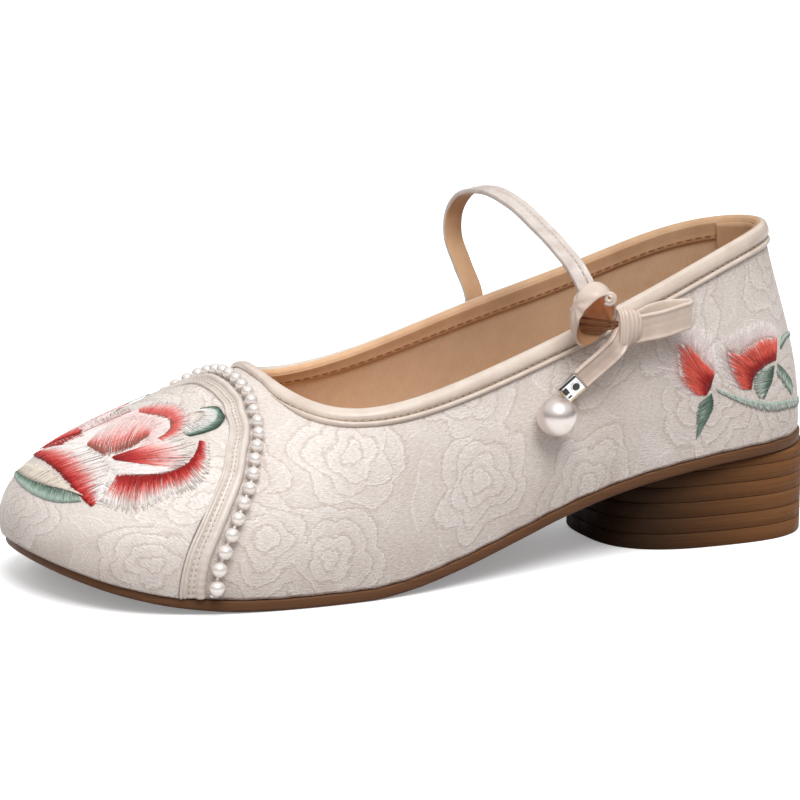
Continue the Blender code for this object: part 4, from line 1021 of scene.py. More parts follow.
# lines that two patches share
leafRidge = [(-0.78, 0.284), (0.21, 0.297), (0.66, 0.309), (1.06, 0.325), (1.25, 0.328)]
hookRidge = [(1.06, 0.812), (1.24, 0.825), (1.5, 0.818), (1.63, 0.795), (1.67, 0.768), (1.63, 0.732),
             (1.52, 0.706)]
frontBud = [(7.49, 0.366), (7.35, 0.478), (7.31, 0.606), (7.34, 0.691), (7.49, 0.631), (7.57, 0.562),
            (7.73, 0.456)]
rearBud = [(8.05, 0.312), (7.95, 0.428), (7.93, 0.531), (8.05, 0.497), (8.21, 0.513), (8.5, 0.525),
           (8.78, 0.497)]
blossom = ("deepRed", "red", "coral", "salmon", "white", "white", "white", "white")
budDyes = ("deepRed", "deepRed", "flame", "flame", "flame", "salmon")
leafDyes = ("darkTeal", "teal", "mist", "teal")
toePatches = [
    {"base": [(-0.4, 0.47), (0.08, 0.515), (0.85, 0.505), (1.2, 0.484)],
     "tip": [(-0.36, 0.74), (0.0, 0.78), (0.68, 0.785), (1.4, 0.7)],
     "dyes": ("white", "white", "pink", "white"), "rows": 6},
    {"base": [(1.0, 0.53), (1.1, 0.51), (1.3, 0.46)],
     "tip": [(1.5, 0.69), (1.9, 0.66), (1.98, 0.58), (1.75, 0.51)],
     "dyes": ("white", "white"), "rows": 4},
    {"base": [(1.1, 0.5), (1.3, 0.42), (1.42, 0.32)], "tip": [(1.45, 0.468), (1.58, 0.41), (1.64, 0.325)],
     "dyes": ("white", "white"), "rows": 2},
    {"base": [(1.39, 0.459), (1.55, 0.478), (1.73, 0.506), (1.89, 0.534), (1.98, 0.569), (2.01, 0.606),
              (1.96, 0.653), (1.83, 0.7)],
     "tip": [(1.55, 0.328), (1.76, 0.322), (1.93, 0.338), (2.11, 0.422), (2.33, 0.513), (2.34, 0.575),
             (2.21, 0.641), (1.99, 0.703)],
     "dyes": ("deepRed", "deepRed", "red", "coral", "salmon", "white", "white", "white"), "rows": 3},
    {"base": [(1.12, 0.5), (1.21, 0.484), (1.35, 0.459)], "tip": [(1.71, 0.541), (1.8, 0.537), (1.79, 0.519)],
     "dyes": ("pink", "white", "white"), "rows": 2},
    {"base": [(0.19, 0.705), (0.78, 0.685), (1.0, 0.64), (1.2, 0.62)],
     "tip": [(0.3, 0.735), (0.71, 0.745), (1.05, 0.725), (1.3, 0.665)], "dyes": ("pink", "white"), "rows": 1},
    {"base": [(-0.11, 0.713), (0.38, 0.728), (0.71, 0.734), (0.99, 0.722), (1.19, 0.681), (1.2, 0.653)],
     "tip": [(-0.44, 0.722), (-0.34, 0.753), (-0.01, 0.784), (0.68, 0.791), (1.2, 0.756), (1.44, 0.694),
             (1.38, 0.653)],
     "dyes": ("brown", "coral", "coral", "salmon", "pink", "white"), "rows": 2},
    {"base": [(-0.64, 0.434), (-0.3, 0.491), (-0.26, 0.531), (-0.17, 0.547)],
     "tip": [(-1.04, 0.409), (-0.85, 0.466), (-0.67, 0.509), (-0.51, 0.547)],
     "dyes": ("deepRed", "red", "coral"), "rows": 2},
    {"base": [(-1.07, 0.369), (0.09, 0.391), (0.66, 0.372), (1.09, 0.334), (1.44, 0.3)],
     "tip": [(-0.46, 0.459), (0.08, 0.522), (0.85, 0.509), (1.2, 0.484), (1.49, 0.356)], "dyes": blossom,
     "rows": 3},
    {"base": [(0.23, 0.525), (0.6, 0.519), (0.94, 0.528), (1.03, 0.559), (1.0, 0.647)],
     "tip": [(0.06, 0.553), (-0.14, 0.616), (-0.09, 0.666), (0.19, 0.716), (0.78, 0.694)],
     "dyes": ("brown", "brown", "coral", "salmon", "pink", "pink", "white"), "rows": 3},
    {"base": [(1.0, 0.525), (1.06, 0.519), (1.16, 0.516)],
     "tip": [(1.3, 0.647), (1.76, 0.656), (1.95, 0.619), (1.98, 0.569)],
     "dyes": ("deepRed", "deepRed", "red", "coral", "salmon", "pink", "white"), "rows": 3},
    {"base": leafRidge, "tip": [(-0.74, 0.328), (0.03, 0.366), (0.51, 0.366), (1.05, 0.338), (1.24, 0.331)],
     "dyes": ("cream", "cream"), "rows": 1, "slant": 0.06},
    {"base": [(-0.96, 0.269), (0.0, 0.253), (0.6, 0.247), (1.01, 0.263), (1.28, 0.303)], "tip": leafRidge,
     "dyes": ("lightTeal", "lightTeal", "teal", "darkTeal"), "rows": 1, "slant": -0.06},
    {"base": hookRidge,
     "tip": [(1.04, 0.795), (1.12, 0.803), (1.22, 0.8), (1.3, 0.788), (1.32, 0.766), (1.3, 0.742),
             (1.27, 0.722)],
     "dyes": ("mist", "white", "white"), "rows": 2, "sparse": 1.3},
    {"base": [(1.0, 0.812), (1.15, 0.834), (1.53, 0.831), (1.76, 0.806), (1.83, 0.775), (1.76, 0.741),
              (1.62, 0.706)],
     "tip": hookRidge, "dyes": ("darkTeal", "darkTeal", "teal", "lightTeal"), "rows": 1, "slant": 0.02},
    # inner side, out of the photograph's sight: three petals and a leaf close the flower
    {"base": [(-0.42, 0.55), (-0.4, 0.62), (-0.38, 0.7)], "tip": [(-0.84, 0.57), (-0.98, 0.63), (-0.86, 0.7)],
     "dyes": ("pink", "white", "white"), "rows": 2},
    {"base": [(-0.62, 0.55), (-0.7, 0.6), (-0.8, 0.65)],
     "tip": [(-1.32, 0.54), (-1.52, 0.59), (-1.52, 0.65), (-1.34, 0.695)],
     "dyes": ("pink", "white", "white", "salmon", "coral", "red"), "rows": 3},
    {"base": [(-1.0, 0.4), (-0.86, 0.46), (-0.68, 0.505), (-0.52, 0.545)],
     "tip": [(-1.62, 0.41), (-1.56, 0.49), (-1.38, 0.55), (-1.1, 0.58)],
     "dyes": ("red", "coral", "salmon", "white", "white"), "rows": 2},
    {"base": [(-1.38, 0.76), (-1.54, 0.735), (-1.68, 0.69), (-1.7, 0.64)],
     "tip": [(-1.38, 0.745), (-1.46, 0.72), (-1.52, 0.685), (-1.5, 0.645)],
     "dyes": ("darkTeal", "teal", "mist"), "rows": 1},
]
fringePatches = [
    {"base": frontBud,
     "tip": [(7.38, 0.391), (7.11, 0.575), (7.15, 0.713), (7.34, 0.775), (7.55, 0.753), (7.74, 0.653),
             (7.76, 0.509)],
     "dyes": ("pink", "lilac", "white"), "rows": 1, "sparse": 1.9},
    {"base": rearBud,
     "tip": [(7.9, 0.363), (7.79, 0.469), (7.82, 0.613), (8.11, 0.622), (8.3, 0.619), (8.68, 0.588),
             (8.91, 0.506)],
     "dyes": ("pink", "lilac", "white"), "rows": 1, "sparse": 1.9},
]
budPatches = [
    {"base": [(7.61, 0.344), (7.65, 0.384), (7.71, 0.431)], "tip": frontBud, "dyes": budDyes, "rows": 2},
    {"base": [(8.19, 0.294), (8.26, 0.363), (8.45, 0.391), (8.66, 0.397)], "tip": rearBud, "dyes": budDyes,
     "rows": 2},
    {"base": [(7.68, 0.34), (7.69, 0.269), (7.62, 0.2), (7.5, 0.113)],
     "tip": [(7.56, 0.35), (7.51, 0.284), (7.5, 0.213), (7.5, 0.113)],
     "dyes": ("darkTeal", "teal", "darkTeal", "lightTeal", "teal"), "rows": 1, "slant": 0.22},
    {"base": [(8.61, 0.372), (8.55, 0.319), (8.46, 0.269), (8.38, 0.228)],
     "tip": [(8.5, 0.381), (8.3, 0.359), (8.23, 0.3), (8.3, 0.241)], "dyes": leafDyes, "rows": 1,
     "slant": 0.22},
    {"base": [(8.69, 0.372), (8.86, 0.306), (8.98, 0.241), (8.95, 0.197)],
     "tip": [(8.59, 0.372), (8.66, 0.303), (8.78, 0.25), (8.9, 0.2)], "dyes": leafDyes, "rows": 1,
     "slant": 0.22},
    {"base": [(8.81, 0.434), (9.01, 0.459), (9.44, 0.444)],
     "tip": [(8.75, 0.444), (8.9, 0.484), (9.39, 0.466)],
     "dyes": leafDyes, "rows": 1, "slant": 0.22},
    {"base": [(7.74, 0.36), (7.93, 0.3), (8.14, 0.246), (8.44, 0.2), (8.79, 0.176), (9.33, 0.143)],
     "tip": [(7.74, 0.342), (7.93, 0.27), (8.14, 0.207), (8.44, 0.152), (8.79, 0.13), (9.33, 0.114)],
     "dyes": ("lightTeal", "stem", "mist", "stem"), "rows": 1, "slant": 0.03},
]


def placesAlong(stops, count):   # evenly spread ribs and shares on a flowing line, and its length
    scale = np.array([22.0, 60.0])                      # about a rib and a share in millimetres
    return evenOnUpper(smoothRoute(np.array(stops) * scale, 160) / scale, count)


def dyeAt(names, share):
    table = np.array([linear(flossColours[name])[:3] for name in names])
    return sampled(table, np.linspace(0.0, 1.0, len(names)), share)


def embroider(name, patches, height, shape):
    starts, ends, dyes, heights = [], [], [], []
    t = np.linspace(0.0, 1.0, shape["steps"])
    for number, patch in enumerate(patches):
        length = max(placesAlong(patch[line], 9)[1] for line in ("base", "tip"))
        count = max(4, int(length / shape["pitch"] / patch.get("sparse", 1.0)))
        base, tip = placesAlong(patch["base"], count)[0], placesAlong(patch["tip"], count)[0]
        order = np.arange(count)
        lean = order + round(patch.get("slant", 0.0) * count) + dice.normal(0.0, shape["sway"], count)
        reach = sampled(tip, order, lean) - base
        rows = patch["rows"]
        ragged = shape["ragged"] / rows
        for row in range(rows):
            if row:
                low = row / rows - (shape["overlap"] / rows + dice.uniform(0.0, ragged, count))
            else:
                low = -dice.uniform(*shape["firstEdge"], count)
            spread = shape["lastEdge"] if row == rows - 1 else (-ragged, ragged)
            high = (row + 1) / rows + dice.uniform(*spread, count)
            starts.append(base + reach * low[:, None])
            ends.append(base + reach * high[:, None])
            drift = dice.normal(0.0, shape["dyeDrift"], count)[:, None]
            along = low[:, None] + (high - low)[:, None] * t + drift
            shade = dice.choice(shape["shades"], (count, 1, 1), p=shape["shadeOdds"])
            dyes.append(dyeAt(patch["dyes"], along) * shade)
            lift = shape["patchLift"] * number + shape["rowLift"] * (rows - row)
            heights.append(height + lift + dice.uniform(0.0, shape["liftSpread"], count))
    starts, ends, heights = np.concatenate(starts), np.concatenate(ends), np.concatenate(heights)
    way = starts[:, None] * (1 - t[:, None]) + ends[:, None] * t[:, None]
    rib, share = way[..., 0], way[..., 1]
    normals = upperNormal(rib, share)
    paths = upperPoint(rib, share) + heights[:, None, None] * normals
    wide = shape["wide"] * dice.uniform(*shape["wideSpread"], len(starts))
    threadPiece(name, paths, normals, wide, shape["high"], np.concatenate(dyes))
    print(name, "stitches:", len(starts))


# ribbons: strap, flat loop and tail, each with its own folded section; a fold is (place, depth, width)
strapRoute = [(154.4, 28.7, 63.4), (153.9, 28.8, 68.2), (151.7, 32.5, 77.3), (150.0, 35.6, 85.3),
              (149.8, 34.6, 92.6), (150.7, 30.4, 98.0), (153.0, 19.4, 101.2), (155.2, 6.5, 99.4),
              (156.1, -7.5, 95.3), (157.0, -19.5, 90.8), (158.7, -27.6, 85.4), (161.0, -31.2, 78.0),
              (162.0, -31.8, 71.0), (162.2, -31.8, 66.4)]
loopRoute = [(171.6, -37.4, 69.3), (175.0, -37.6, 69.8), (181.0, -37.9, 70.6), (187.0, -37.2, 71.7),
             (190.6, -36.0, 72.2), (191.6, -34.6, 72.4), (190.4, -33.2, 72.3), (186.0, -32.4, 72.2),
             (180.5, -32.8, 71.7), (175.2, -34.2, 70.4), (172.0, -35.6, 70.0)]
tailRoute = [(168.6, -37.8, 69.0), (166.9, -39.0, 67.9), (164.9, -40.3, 65.8), (162.9, -39.6, 63.5),
             (160.3, -38.6, 60.9), (157.6, -37.7, 58.4), (155.4, -37.2, 56.4)]
strapShape = {"steps": 260, "wide": 5.8, "thick": 1.5, "folds": [(0.3, 0.75, 0.065)], "edgeRoll": 0.3,
              "pucker": 0.13, "puckerLong": 2.4, "across": (0.99, 0.0, 0.14), "around": 40, "tanRows": 10}
loopShape = {"steps": 150, "wide": 8.2, "thick": 1.1, "folds": [(0.15, 0.07, 0.12)], "edgeRoll": 0.7,
             "pucker": 0.05, "puckerLong": 5.0}
tailShape = {"steps": 60, "wide": 6.4, "thick": 1.2, "folds": [(0.15, 0.15, 0.3)], "edgeRoll": 1.0,
             "pucker": 0.05, "puckerLong": 4.0}

# section of a ribbon: flat under, rounded at the edges, and rolled beside them
ribbonSection = {"flat": 0.93, "underRows": 11, "underCurve": 0.25, "edgeRows": 3, "edgeTurn": 0.6,
                 "edgeHigh": 0.62 / 0.56, "faceRows": 23, "faceCurve": 0.2, "rollAt": 0.86, "rollWide": 0.12,
                 "foldLip": 0.3, "foldLipAt": 2.2, "gather": 3.0, "gatherLeast": 0.2, "puckerSlant": 1.3}


def ribbonFrame(middle, across):   # directions across and out of a ribbon at each point
    forward = unit(np.gradient(middle, axis=0))
    across = np.broadcast_to(np.asarray(across, dtype=float), middle.shape)
    across = unit(across - (across * forward).sum(axis=1, keepdims=True) * forward)
    return across, np.cross(forward, across)


def ribbonPiece(name, route, across, shape):
    middle = smoothRoute(route, shape["steps"])
    across, normal = ribbonFrame(middle, across)
    run = runAlong(middle)
    half, crown = shape["wide"] / 2.0, shape["thick"] / 2.0
    form = ribbonSection
    flat, turned = form["flat"], form["edgeTurn"]

    def edgeRings(side, turns):                         # rounded edge
        return [middle + side * half * (0.95 + 0.05 * math.cos(turn * 2.2)) * across
                + crown * form["edgeHigh"] * math.sin(turn) * normal for turn in turns]

    rings = []
    for side in np.linspace(-flat, flat, form["underRows"]):     # underside
        rings.append(middle + side * half * across - crown * (1.0 - form["underCurve"] * side ** 4) * normal)
    rings += edgeRings(1.0, np.linspace(-turned, turned, form["edgeRows"]))
    for side in np.linspace(flat, -flat, form["faceRows"]):      # face with its folds
        roll = shape["edgeRoll"] * bell(abs(side) - form["rollAt"], form["rollWide"])
        height = crown * (1.0 - form["faceCurve"] * side ** 4 + roll)
        gather = 0.0
        for place, deep, wide in shape["folds"]:
            away = side - place
            lip = form["foldLip"] * bell(away + form["foldLipAt"] * wide, wide)
            height = height - deep * (bell(away, wide) - lip)
            gather = gather + bell(away, form["gather"] * wide)
        pucker = shape["pucker"] * np.clip(gather, form["gatherLeast"], 1.0)
        wrinkle = pucker * satinPucker(run + form["puckerSlant"] * side, shape["puckerLong"], 0.9)
        rings.append(middle + side * half * across + (height + wrinkle)[:, None] * normal)
    rings += edgeRings(-1.0, np.linspace(turned, -turned, form["edgeRows"]))
    return tubePiece(name, np.stack(rings, axis=1))


def tailFrame():                 # end of the tail, its direction, and the way across it
    route = np.array(tailRoute)
    forward = unit(route[-1] - route[-2])
    return route[-1], forward, unit(np.cross(forward, np.array([0.0, -1.0, 0.0])))


def buildRibbons():
    strap = ribbonPiece("strap", strapRoute, strapShape["across"], strapShape)
    finishPiece(strap, [strapSatin, sockLeather], "binding_satin", "strap")
    around = strapShape["around"]
    for face in strap.data.polygons:                    # tan cloth shows on the strap's underside
        if face.index < around * (strapShape["steps"] - 1) and face.index % around < strapShape["tanRows"]:
            face.material_index = 1
    loop = ribbonPiece("bowFlatLoop", loopRoute, upward, loopShape)
    finishPiece(loop, [plainSatin], "binding_satin", "bow_flat_loop")
    tail = ribbonPiece("bowTail", tailRoute, -tailFrame()[2], tailShape)
    finishPiece(tail, [plainSatin], "binding_satin", "bow_tail")


# stitched lines: on the collar facing, the strap, under the collar binding, and two rows on the cap binding
seamShape = {
    "facing": {"colour": "8A5A35", "long": 2.1, "step": 2.9, "ends": (0.0, 2.9), "wide": 0.55, "high": 0.3},
    "strap": {"colour": "A8978A", "long": 1.5, "step": 2.2, "ends": (16.0, 14.0), "wide": 0.5, "high": 0.35,
              "aside": 0.3, "sunk": 0.5},
    "collar": {"colour": "B9A692", "long": 1.4, "step": 2.1, "ends": (2.0, 2.0), "wide": 0.55, "high": 0.3,
               "above": 0.45, "below": 0.1},
    "binding": {"colour": "D6CABF", "long": 1.1, "step": 1.55, "ends": (1.5, 1.5), "wide": 0.5, "high": 0.3,
                "above": 1.36, "across": (0.335, 0.5)},
}


def stitchRuns(run, look):       # where each stitch of a row starts, and its way on from there
    first, last = look["ends"]
    return np.arange(first, run[-1] - last, look["step"])[:, None] + np.linspace(0.0, look["long"], 5)


def sewRow(name, paths, normals, look):
    dyes = np.tile(linear(look["colour"])[:3], (len(paths), 1))
    return threadPiece(name, paths, normals, look["wide"], look["high"], dyes)


def buildSeams(shape):
    look, down = shape["facing"], facingShape["stitchDown"]
    ribs = np.linspace(-heelRib, heelRib, 1600)[:-1]
    run = runAlong(aboveUpper(ribs, belowCollar(ribs, down), -facingShape["behind"] - 0.5))
    rib = np.interp(stitchRuns(run, look), run, ribs)
    share = belowCollar(rib, down)
    inward = -upperNormal(rib, share)
    deep = facingShape["behind"] + facingShape["skin"] - 0.04
    sewRow("facingStitches", upperPoint(rib, share) + deep * inward, inward, look)
    look = shape["strap"]
    middle = smoothRoute(strapRoute, 900)
    across, normal = ribbonFrame(middle, strapShape["across"])
    line = middle + look["aside"] * strapShape["wide"] / 2.0 * across
    line += (strapShape["thick"] / 2.0 - look["sunk"]) * normal
    run = runAlong(line)
    at = stitchRuns(run, look)
    sewRow("strapStitches", sampled(line, run, at), unit(sampled(normal, run, at)), look)
    look = shape["collar"]
    ribs = np.linspace(pipingShape["endRib"], ribCount - pipingShape["endRib"], 1600)
    run = runAlong(upperPoint(ribs, 1.0))
    rib = np.interp(stitchRuns(run, look), run, ribs)
    share = belowCollar(rib, bindingHigh(rib) + look["below"])
    normals = upperNormal(rib, share)
    sewRow("collarStitches", upperPoint(rib, share) + look["above"] * normals, normals, look)
    look = shape["binding"]
    edge = capEdgeLine(900)
    places = []
    for across in look["across"]:
        line = np.stack(besideLine(edge, across * capBindingWide(edge)), axis=1)
        run = runAlong(upperPoint(*line.T))
        places.append(sampled(line, run, stitchRuns(run, look)))
    places = np.concatenate(places)
    rib, share = places[..., 0], places[..., 1]
    normals = upperNormal(rib, share)
    sewRow("bindingStitches", upperPoint(rib, share) + look["above"] * normals, normals, look)


# bow: a puffed loop, open to the front and below, and the gathered knot
puffShape = {"centre": (158.3, -39.2, 74.4), "radii": (7.1, 6.3, 10.0), "mouth": (0.2, -0.76, -0.6),
             "cover": math.radians(101), "wall": 0.7, "around": 96, "rings": 64,
             "knotSide": (166.0, -38.5, 69.5), "folds": 7, "foldDeep": 0.55, "foldReach": 16.0,
             "foldSway": 0.9, "foldFrom": (2.0, 8.0), "foldRise": 0.35}
knotSections = [(166.2, -38.0, 69.1, 2.4, 6.3), (167.6, -37.9, 69.4, 3.0, 6.7),
                (170.2, -37.3, 70.1, 3.0, 5.6), (172.8, -36.7, 70.2, 2.8, 4.6),
                (174.4, -36.2, 70.2, 2.2, 3.8)]
knotShape = {"rings": 90, "around": 60, "ridges": 5.0, "ridgeHigh": 0.32}


def buildPuff(shape):
    bpy.ops.mesh.primitive_uv_sphere_add(segments=shape["around"], ring_count=shape["rings"], radius=1.0)
    puff = bpy.context.object
    puff.name = "bowPuffedLoop"
    bpy.ops.object.mode_set(mode="EDIT")
    bpy.ops.mesh.select_mode(type="VERT")
    bpy.ops.mesh.select_all(action="DESELECT")
    bpy.ops.object.mode_set(mode="OBJECT")
    for vertex in puff.data.vertices:
        vertex.select = vertex.co.z < math.cos(shape["cover"])
    bpy.ops.object.mode_set(mode="EDIT")
    bpy.ops.mesh.delete(type="VERT")
    bpy.ops.object.mode_set(mode="OBJECT")
    turn = Vector(upward).rotation_difference(-Vector(shape["mouth"])).to_matrix()
    corners = np.array([turn @ vertex.co for vertex in puff.data.vertices])
    points = np.array(shape["centre"]) + corners * shape["radii"]
    knot = np.array(shape["knotSide"])
    axis = unit(np.array(shape["centre"]) - knot)
    away = points - knot
    reach = np.linalg.norm(away, axis=1)
    sideA = unit(np.cross(axis, np.array([0.0, 1.0, 0.0])))
    sideB = np.cross(axis, sideA)
    angle = np.arctan2(away @ sideB, away @ sideA)
    folds = np.sin(shape["folds"] * angle + shape["foldSway"] * np.sin(2.0 * angle))
    folds *= bell(reach, shape["foldReach"]) * blend(*shape["foldFrom"], reach)
    points -= shape["foldDeep"] * np.maximum(folds, -shape["foldRise"])[:, None] * corners
    puff.data.vertices.foreach_set("co", toWorld(points).astype(np.float32).ravel())
    puff.data.update()
    puff.data.shade_smooth()
    # inside, the loop gets the hollow's painted shade and painted light
    addWall(puff, shape["wall"], innerSlot=1)
    return finishPiece(puff, [plainSatin, paintedLightHollowSatin], "binding_satin", "bow_puffed_loop")


def buildKnot(shape):
    table = np.array(knotSections)
    s = np.linspace(table[0, 0], table[-1, 0], shape["rings"])[:, None]
    y, z, deep, high = [steadyCurve(table[:, [0, column]], s) for column in (1, 2, 3, 4)]
    turns = np.linspace(0.0, math.tau, shape["around"] + 1)[:-1]
    phase = (s - s[0]) / (s[-1] - s[0])
    ridge = np.abs(np.sin(math.pi * shape["ridges"] * phase + 0.35 * np.sin(2.0 * turns)))
    swell = shape["ridgeHigh"] * (ridge - 0.75)
    rings = np.stack([np.broadcast_to(s, ridge.shape), y + (deep + swell) * np.cos(turns),
                      z + (high + swell) * np.sin(turns)], axis=-1)
    return finishPiece(tubePiece("bowKnot", rings), [plainSatin], "binding_satin", "bow_knot")


# small pieces of the bow: pleats drawn into the knot, dark brown as painted shade between the folds, the
# rolled end on the loop, the knot's rolled rim
bowTrim = {"pleatStart": (166.4, -38.6, 71.6), "pleatEnd": (156.0, -34.1, 71.2), "pleatThick": 0.34,
           "pleatLifts": ((0.75, 2.4), (0.0, 0.4), (-0.7, -1.6)), "pleatBow": 1.0,
           "nub": (160.8, -43.2, 80.4), "nubWide": 1.7, "nubThick": 0.72, "nubTurns": 1.7, "nubStart": 3.9,
           "nubAxes": ((0.9, -0.43, 0.0), (0.1, 0.2, 0.97)), "nubRise": (-0.15, -0.4, 0.1),
           "rimThick": 0.42, "rimOut": 0.25, "rimAhead": 0.15, "rimSteps": 80}


def buildBowTrim(shape):
    start, end = np.array(shape["pleatStart"]), np.array(shape["pleatEnd"])
    t = np.linspace(0.0, 1.0, 24)[:, None]
    for number, (first, last) in enumerate(shape["pleatLifts"], 1):
        middle = start + (end - start) * t + upward * (first + (last - first) * t)
        middle[:, 1] -= shape["pleatBow"] * np.sin(math.pi * t[:, 0])
        pleat = tubePiece(f"bowPleat{number}", tubeRings(middle, shape["pleatThick"], 10))
        finishPiece(pleat, [pleatPaintedShadeSatin], "binding_satin")
    turn = np.linspace(0.0, shape["nubTurns"] * math.tau, 70)[:, None]
    share = turn / turn[-1]
    reach = shape["nubWide"] * (1.0 - 0.75 * share)
    across, up = np.array(shape["nubAxes"])
    angle = turn + shape["nubStart"]
    middle = np.array(shape["nub"]) + reach * (np.cos(angle) * across + np.sin(angle) * up)
    middle += share * np.array(shape["nubRise"])
    nub = tubePiece("bowRolledEnd", tubeRings(middle, shape["nubThick"], 12))
    finishPiece(nub, [plainSatin], "binding_satin")
    s, y, z, deep, high = knotSections[0]
    turn = np.linspace(0.0, math.tau, shape["rimSteps"] + 1)[:-1]
    outward = np.stack([np.zeros(shape["rimSteps"]), np.cos(turn), np.sin(turn)], axis=1)
    reach = np.array([0.0, deep + shape["rimOut"], high + shape["rimOut"]])
    hoop = np.array([s + shape["rimAhead"], y, z]) + outward * reach
    rings = [hoop + shape["rimThick"] * (math.cos(a) * outward + math.sin(a) * np.array([1.0, 0.0, 0.0]))
             for a in np.linspace(0.0, math.tau, 13)[:-1]]
    rim = tubePiece("bowKnotRim", np.stack(rings, axis=1), joined=True)
    return finishPiece(rim, [plainSatin], "binding_satin")


# clasp and pearl at the end of the tail
claspShape = {"long": 6.6, "wide": 5.6, "thick": 2.0, "bevel": 0.4, "rivet": 1.15, "rivetDeep": 0.7}
tailPearlShape = {"centre": (146.4, -40.9, 47.2), "radius": 5.8, "around": 64, "rings": 40}


def placedPiece(piece, name, turn, spot):    # bakes an operator-made mesh into its place on the shoe
    piece.name = name
    corners = np.array([vertex.co for vertex in piece.data.vertices]) @ np.asarray(turn).T + np.asarray(spot)
    piece.data.vertices.foreach_set("co", toWorld(corners).astype(np.float32).ravel())
    piece.data.update()
    piece.data.shade_smooth()
    return piece


def buildClasp(shape):
    end, forward, across = tailFrame()
    face = -np.cross(forward, across)                   # the side that shows
    turn = np.stack([forward, across, -face], axis=1)
    middle = end + (lastSizes["gap"] + shape["long"] / 2.0) * forward
    long, wide, thick = shape["long"], shape["wide"], shape["thick"]
    # name, size, bevel, place along, across and out of the clasp's middle, material
    bars = [("tailClasp", (long, wide, thick), shape["bevel"], (0.0, 0.0, 0.0), chrome),
            # a black strip along one long edge: painted dark reflection of the clasp's side wall
            ("claspEdgeDarkReflection", (long - 0.5, 0.7, 0.3), 0.1, (0.0, 2.35, thick / 2.0), inlay),
            ("claspWindow1", (1.5, 2.0, 0.3), 0.1, (1.85, 0.6, thick / 2.0), inlay),
            ("claspWindow2", (1.3, 0.5, 0.3), 0.1, (1.85, -1.45, thick / 2.0), inlay),
            ("claspFoot", (0.55, wide - 0.3, thick + 0.3), 0.14, (long / 2.0 - 0.3, 0.0, 0.0), brass),
            ("claspSide", (long - 0.4, 0.5, thick + 0.25), 0.14, (0.0, 0.22 - wide / 2.0, 0.0), brass)]
    for name, size, bevel, (ahead, aside, out), material in bars:
        bpy.ops.mesh.primitive_cube_add(size=1.0)
        bar = editMesh((bpy.ops.transform.resize, {"value": size}),
                       (bpy.ops.mesh.bevel, {"offset": bevel, "segments": 4, "affect": "EDGES"}))
        spot = middle + ahead * forward + aside * across + out * face
        nodes = ["tail_clasp"] if name == "tailClasp" else []
        finishPiece(placedPiece(bar, name, turn, spot), [material], "clasp_metal", *nodes)
    spot = middle - 1.25 * forward - 0.2 * across + thick / 2.0 * face
    rivets = [("claspRivetSeat", shape["rivet"] * 1.3, -0.1, chrome),
              ("claspRivet", shape["rivet"], 0.02, inlay)]
    for name, radius, rise, material in rivets:
        bpy.ops.mesh.primitive_cylinder_add(vertices=48, radius=radius, depth=shape["rivetDeep"])
        rivet = editMesh((bpy.ops.mesh.bevel, {"offset": 0.2, "segments": 3, "affect": "EDGES"}))
        finishPiece(placedPiece(rivet, name, turn, spot + rise * face), [material], "clasp_metal")


def buildTailPearl(shape):
    bpy.ops.mesh.primitive_uv_sphere_add(segments=shape["around"], ring_count=shape["rings"],
                                         radius=shape["radius"])
    pearl = placedPiece(bpy.context.object, "tailPearl", np.eye(3), shape["centre"])
    return finishPiece(pearl, [nacre], "pearl", "tail_pearl")


# sole: a moulded edge with a rolled lower rim, and shallow tread across the forefoot;
# each step of an edge has an inset and a lift
soleShape = {"half": 110, "rungs": 26, "roll": 1.2, "tread": 0.45, "treadStep": 5.0, "treadRim": (3.0, 6.0),
             "treadStart": (14.0, 20.0), "treadEnd": (96.0, 104.0),
             "steps": [(1.0, 0.0), (0.62, 0.08), (0.3, 0.28), (0.1, 0.6), (0.0, 1.1), (0.0, 2.0), (0.0, 2.9),
                       (0.06, 3.12), (0.2, 3.2)]}
padShape = {"half": 90, "steps": [(0.0, 0.0), (-0.6, 0.8), (-1.35, 1.6), (-1.3, 1.95), (-0.7, 2.2),
                                  (0.3, 2.36), (1.6, 2.4)]}     # spreads to the lining
heelShape = {"centre": 210.6, "halfLong": 33.9, "halfWide": 26.3, "blunt": 2.8, "layer": 4.65, "layers": 6,
             "groove": 0.34, "grooveHalf": 0.17, "half": 90, "bevel": 0.5, "tip": 0.02}


def halfRibs(count):             # ribs along the outer side and back along the inner one, closest at the ends
    tip = 0.03
    outer = tip + (heelRib - 2.0 * tip) * (1.0 - np.cos(np.linspace(0.0, math.pi, count))) / 2.0
    return np.concatenate([outer, ribCount - outer[::-1]])


def slabPiece(name, levels, bottom=None):   # stacked outlines, closed with rungs from side to side
    levels = np.asarray(levels)
    count, around = levels.shape[:2]
    faces = gridFaces(count, around, True).tolist()
    top = (count - 1) * around
    for k in range(around // 2 - 1):
        other = around - 1 - k
        faces.append((top + k, top + k + 1, top + other - 1, top + other))
        if bottom is None:
            faces.append((k + 1, k, other, other - 1))
    points = levels.reshape(-1, 3)
    if bottom is not None:
        faces += (gridFaces(*bottom.shape[:2], False) + len(points)).tolist()
        points = np.concatenate([points, bottom.reshape(-1, 3)])
    piece = meshPiece(name, points, faces)
    weld = piece.modifiers.new("weld", "WELD")
    weld.merge_threshold = 1e-6
    return piece


def soleOutline(ribs, margin, lift):
    s, y = footLine(ribs, margin)
    return np.stack([s, y, soleBottom(s) + lift], axis=-1)


